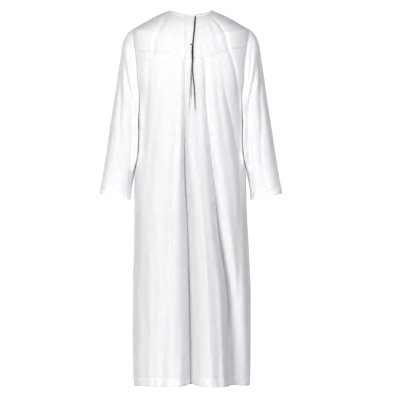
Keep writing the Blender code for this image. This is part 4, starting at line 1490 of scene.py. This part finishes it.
@dataclass
class Stitching:
    """Rows of sewn stitches, made by Geometry Nodes along lines on the cloth."""

    form: BodyForm
    shop: Workshop
    stitch: float = 2.4 * MM
    gap: float = 0.9 * MM
    thread: float = 0.16 * MM
    proud: float = 0.05 * MM
    # Where the rows of stitches run: across over the yoke seam, down along the opening band
    yoke_spans: Sequence[tuple[float, float]] = ((-205 * MM, -20 * MM), (46 * MM, 205 * MM))
    yoke_offsets: tuple[float, float] = (-1.8 * MM, 2.2 * MM)
    band_columns: Sequence[float] = (-16 * MM, 41.5 * MM, 9 * MM, 13.2 * MM)
    band_span: tuple[float, float] = (16 * MM, 278 * MM)
    neck_row: float = 12.5 * MM
    band_end: float = 277.5 * MM

    def sizes(self) -> dict[str, float]:
        """The tree's named inputs."""
        return {"Stitch Length": self.stitch, "Stitch Gap": self.gap, "Thread Radius": self.thread}

    def tree(self, material: bpy.types.Material) -> bpy.types.NodeTree:
        """Node tree that sets a short stitch at each step of a line.

        Args:
            material: The thread's finish.

        Returns:
            The tree, with its sizes as named inputs.
        """
        tree = bpy.data.node_groups.new("stitch_row", "GeometryNodeTree")
        face = tree.interface
        face.new_socket("Line", in_out="INPUT", socket_type="NodeSocketGeometry")
        for name, value in self.sizes().items():
            face.new_socket(name, in_out="INPUT", socket_type="NodeSocketFloat").default_value = value
        face.new_socket("Stitches", in_out="OUTPUT", socket_type="NodeSocketGeometry")
        start = tree.nodes.new("NodeGroupInput")
        end = tree.nodes.new("NodeGroupOutput")
        step = tree.nodes.new("ShaderNodeMath")
        step.operation = "ADD"
        points = tree.nodes.new("GeometryNodeCurveToPoints")
        points.mode = "LENGTH"
        stick = tree.nodes.new("GeometryNodeMeshCylinder")
        stick.inputs["Vertices"].default_value = 6
        place = tree.nodes.new("GeometryNodeInstanceOnPoints")
        real = tree.nodes.new("GeometryNodeRealizeInstances")
        dress = tree.nodes.new("GeometryNodeSetMaterial")
        dress.inputs["Material"].default_value = material
        link = tree.links.new
        link(start.outputs["Stitch Length"], step.inputs[0])
        link(start.outputs["Stitch Gap"], step.inputs[1])
        link(start.outputs["Line"], points.inputs["Curve"])
        link(step.outputs["Value"], points.inputs["Length"])
        link(start.outputs["Thread Radius"], stick.inputs["Radius"])
        link(start.outputs["Stitch Length"], stick.inputs["Depth"])
        link(points.outputs["Points"], place.inputs["Points"])
        link(points.outputs["Rotation"], place.inputs["Rotation"])
        link(stick.outputs["Mesh"], place.inputs["Instance"])
        link(place.outputs["Instances"], real.inputs["Geometry"])
        link(real.outputs["Geometry"], dress.inputs["Geometry"])
        link(dress.outputs["Geometry"], end.inputs["Stitches"])
        return tree

    def lines(self) -> list[Grid]:
        """Every sewn line of the body and the neck, just over the cloth.

        Returns:
            The lines, each as points.
        """
        form = self.form
        lifted = []

        def add(angle: Grid, station: Grid) -> None:
            """Adds one line, lifted off the cloth."""
            point = form.surface(angle, station)
            outward = -surface_normals(form.surface, angle, station)
            lifted.append(point + outward * self.proud)

        full = np.linspace(-math.pi, math.pi, 900)
        add(full, np.full_like(full, form.hem - form.hem_turn))
        add(full, np.full_like(full, self.neck_row))
        for low, high in self.yoke_spans:
            x = np.linspace(low, high, 200)
            for below in self.yoke_offsets:
                station = form.yoke_seam.at("station", x) + below
                add(form.angle_at_x(x, station), station)
        for x in self.band_columns:
            station = np.linspace(*self.band_span, 160)
            add(form.angle_at_x(np.full_like(station, x), station), station)
        x = np.linspace(self.band_columns[0], self.band_columns[1], 40)
        station = np.full_like(x, self.band_end)
        add(form.angle_at_x(x, station), station)
        return lifted

    def cuff_lines(self, sleeves: SleevePair) -> list[Grid]:
        """The sewn line of each cuff.

        Args:
            sleeves: The sleeves.

        Returns:
            The lines, each as points.
        """
        found = []
        for side in Side:
            def surface(t: Grid, a: Grid, which: Side = side) -> Grid:
                """The creased surface of one sleeve."""
                return sleeves.surface(which, t, a)

            turn = np.linspace(0, 2 * math.pi, 300)
            along = np.full_like(turn, 1 - sleeves.cuff_turn)
            outward = side.value * surface_normals(surface, turn, along)
            found.append(surface(turn, along) + outward * self.proud)
        return found

    def build(self, sleeves: SleevePair, material: bpy.types.Material) -> bpy.types.Object:
        """Sews every line as one joined mesh.

        Args:
            sleeves: The sleeves, for their cuffs.
            material: The thread's finish.

        Returns:
            The piece.
        """
        curve = bpy.data.curves.new("sewn_lines", "CURVE")
        curve.dimensions = "3D"
        for line in self.lines() + self.cuff_lines(sleeves):
            spline = curve.splines.new("POLY")
            spline.points.add(len(line) - 1)
            spline.points.foreach_set("co", np.column_stack([line, np.ones(len(line))]).ravel())
        path = bpy.data.objects.new("sewn_lines", curve)
        self.shop.collection.objects.link(path)
        modifier = path.modifiers.new("stitches", "NODES")
        modifier.node_group = self.tree(material)
        values = self.sizes()
        for item in modifier.node_group.interface.items_tree:
            if item.name in values:
                modifier[item.identifier] = values[item.name]
        graph = bpy.context.evaluated_depsgraph_get()
        mesh = bpy.data.meshes.new_from_object(path.evaluated_get(graph))
        bpy.data.objects.remove(path)
        return self.shop.place("seam_stitches", mesh, material, "loop_thread", None)


@dataclass(frozen=True)
class SoftLight:
    """A square soft light: its place, what it looks at, its side in metres and its watts."""

    name: str
    place: Place
    target: Place
    size: float
    power: float
    colour: Colour = (1.0, 1.0, 1.0)

    def build(self) -> None:
        """Hangs the light, itself unseen."""
        data = bpy.data.lights.new(self.name, "AREA")
        data.size = self.size
        data.energy = self.power
        data.color = self.colour
        light = bpy.data.objects.new(self.name, data)
        light.location = self.place
        light.visible_camera = False
        aim = Vector(self.target) - Vector(self.place)
        light.rotation_euler = aim.to_track_quat("-Z", "Y").to_euler()
        bpy.context.scene.collection.objects.link(light)


@dataclass
class Studio:
    """Pale floor, soft lights and the camera at the photo's angle."""

    robe: Place = (0.0, 0.0, -0.7)
    picture_px: int = 400
    metres_per_px: float = 3.862 * MM
    middle_px: tuple[float, float] = (190.7, 10.2)
    distance: float = 9.0
    sensor: float = 36.0
    floor_z: float = -1.62
    floor_reach: float = 14.0
    floor_white: float = 0.9
    floor_glow: float = 0.75
    air_colour: Colour = (0.985, 0.985, 1.0)
    air_light: float = 0.53
    air_seen: float = 1.05
    contrast_gamma: float = 0.5

    def camera(self) -> None:
        """Sets the camera so that the robe stands in the frame as in the photo."""
        half = self.picture_px / 2
        x = (half - self.middle_px[0]) * self.metres_per_px
        z = -(half - self.middle_px[1]) * self.metres_per_px
        data = bpy.data.cameras.new("camera")
        data.sensor_width = self.sensor
        data.lens = self.sensor * self.distance / (self.picture_px * self.metres_per_px)
        camera = bpy.data.objects.new("camera", data)
        camera.location = (x, -self.distance, z)
        camera.rotation_euler = (math.pi / 2, 0, 0)
        bpy.context.scene.collection.objects.link(camera)
        bpy.context.scene.camera = camera

    def floor(self) -> None:
        """Lays a wide pale floor under the robe."""
        mesh = bpy.data.meshes.new("floor")
        reach = self.floor_reach
        corners = [(-reach, -reach, self.floor_z), (reach, -reach, self.floor_z),
                   (reach, reach, self.floor_z), (-reach, reach, self.floor_z)]
        mesh.from_pydata(corners, [], [(0, 1, 2, 3)])
        material = Shading("pale_floor").dress({
            "Base Color": (self.floor_white, self.floor_white, self.floor_white, 1), "Roughness": 0.9,
            "Emission Color": (1, 1, 1, 1), "Emission Strength": self.floor_glow})
        mesh.materials.append(material)
        floor = bpy.data.objects.new("floor", mesh)
        floor.visible_diffuse = False
        bpy.context.scene.collection.objects.link(floor)

    def light(self) -> None:
        """Sets the lights and the white surroundings."""
        for light in (
            SoftLight("key", (-3.6, -5.1, -0.8), self.robe, 2.6, 236, (1.0, 0.995, 0.985)),
            SoftLight("fill", (3.2, -5.3, -0.75), self.robe, 2.6, 168, (0.98, 0.985, 1.0)),
            SoftLight("top", (0.1, -2.4, 2.2), self.robe, 2.0, 18),
            SoftLight("back_right", (-3.4, 4.6, -0.5), self.robe, 2.6, 125),
            SoftLight("back_left", (3.4, 4.8, -0.5), self.robe, 2.6, 70),
            SoftLight("neck", (0.0, -0.03, -0.075), (0.0, 0.07, -0.01), 0.07, 0.12),
        ):
            light.build()
        scene = bpy.context.scene
        scene.world = bpy.data.worlds.new("studio")
        scene.world.use_nodes = True
        tree = scene.world.node_tree
        background = tree.nodes["Background"]
        background.inputs["Color"].default_value = (*self.air_colour, 1)
        path = tree.nodes.new("ShaderNodeLightPath")
        strength = tree.nodes.new("ShaderNodeMapRange")
        strength.inputs["To Min"].default_value = self.air_light
        strength.inputs["To Max"].default_value = self.air_seen
        tree.links.new(path.outputs["Is Camera Ray"], strength.inputs["Value"])
        tree.links.new(strength.outputs["Result"], background.inputs["Strength"])
        scene.view_settings.view_transform = "Standard"
        scene.view_settings.gamma = self.contrast_gamma


def main() -> None:
    """Builds the robe round the frame, then its studio."""
    logging.basicConfig(level=logging.INFO, format="%(name)s %(message)s")
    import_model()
    shop = Workshop()
    form = BodyForm()
    studio = Studio()
    studio.camera()

    cloth = ClothFinish("white_poplin").material()
    binding = ClothFinish("white_binding", colour=(0.83, 0.83, 0.83), thread=0.5 * MM).material()
    # Each thread's second colour is the painted highlight on its ply crests.
    dark = ThreadFinish("dark_thread", (0.012, 0.012, 0.015), (0.06, 0.058, 0.062)).material()
    white = ThreadFinish("white_thread", (0.82, 0.82, 0.83), (0.9, 0.9, 0.9), ply=0.8 * MM).material()

    panels = BodyPanels(form, shop)
    panels.front(cloth)
    panels.back(cloth)
    for side in Side:
        panels.yoke(side, cloth)
        panels.placket(side, cloth)
    panels.neckband(binding)
    sleeves = SleevePair(form, shop)
    for side in Side:
        sleeves.build(side, cloth)
    hanging = HangingTassel(form, shop)
    hanging.tassel(dark)
    hanging.knot(dark)
    hanging.cord(dark)
    hanging.loop(white)
    Stitching(form, shop).build(sleeves, white)

    studio.floor()
    studio.light()


if __name__ == "__main__":
    main()
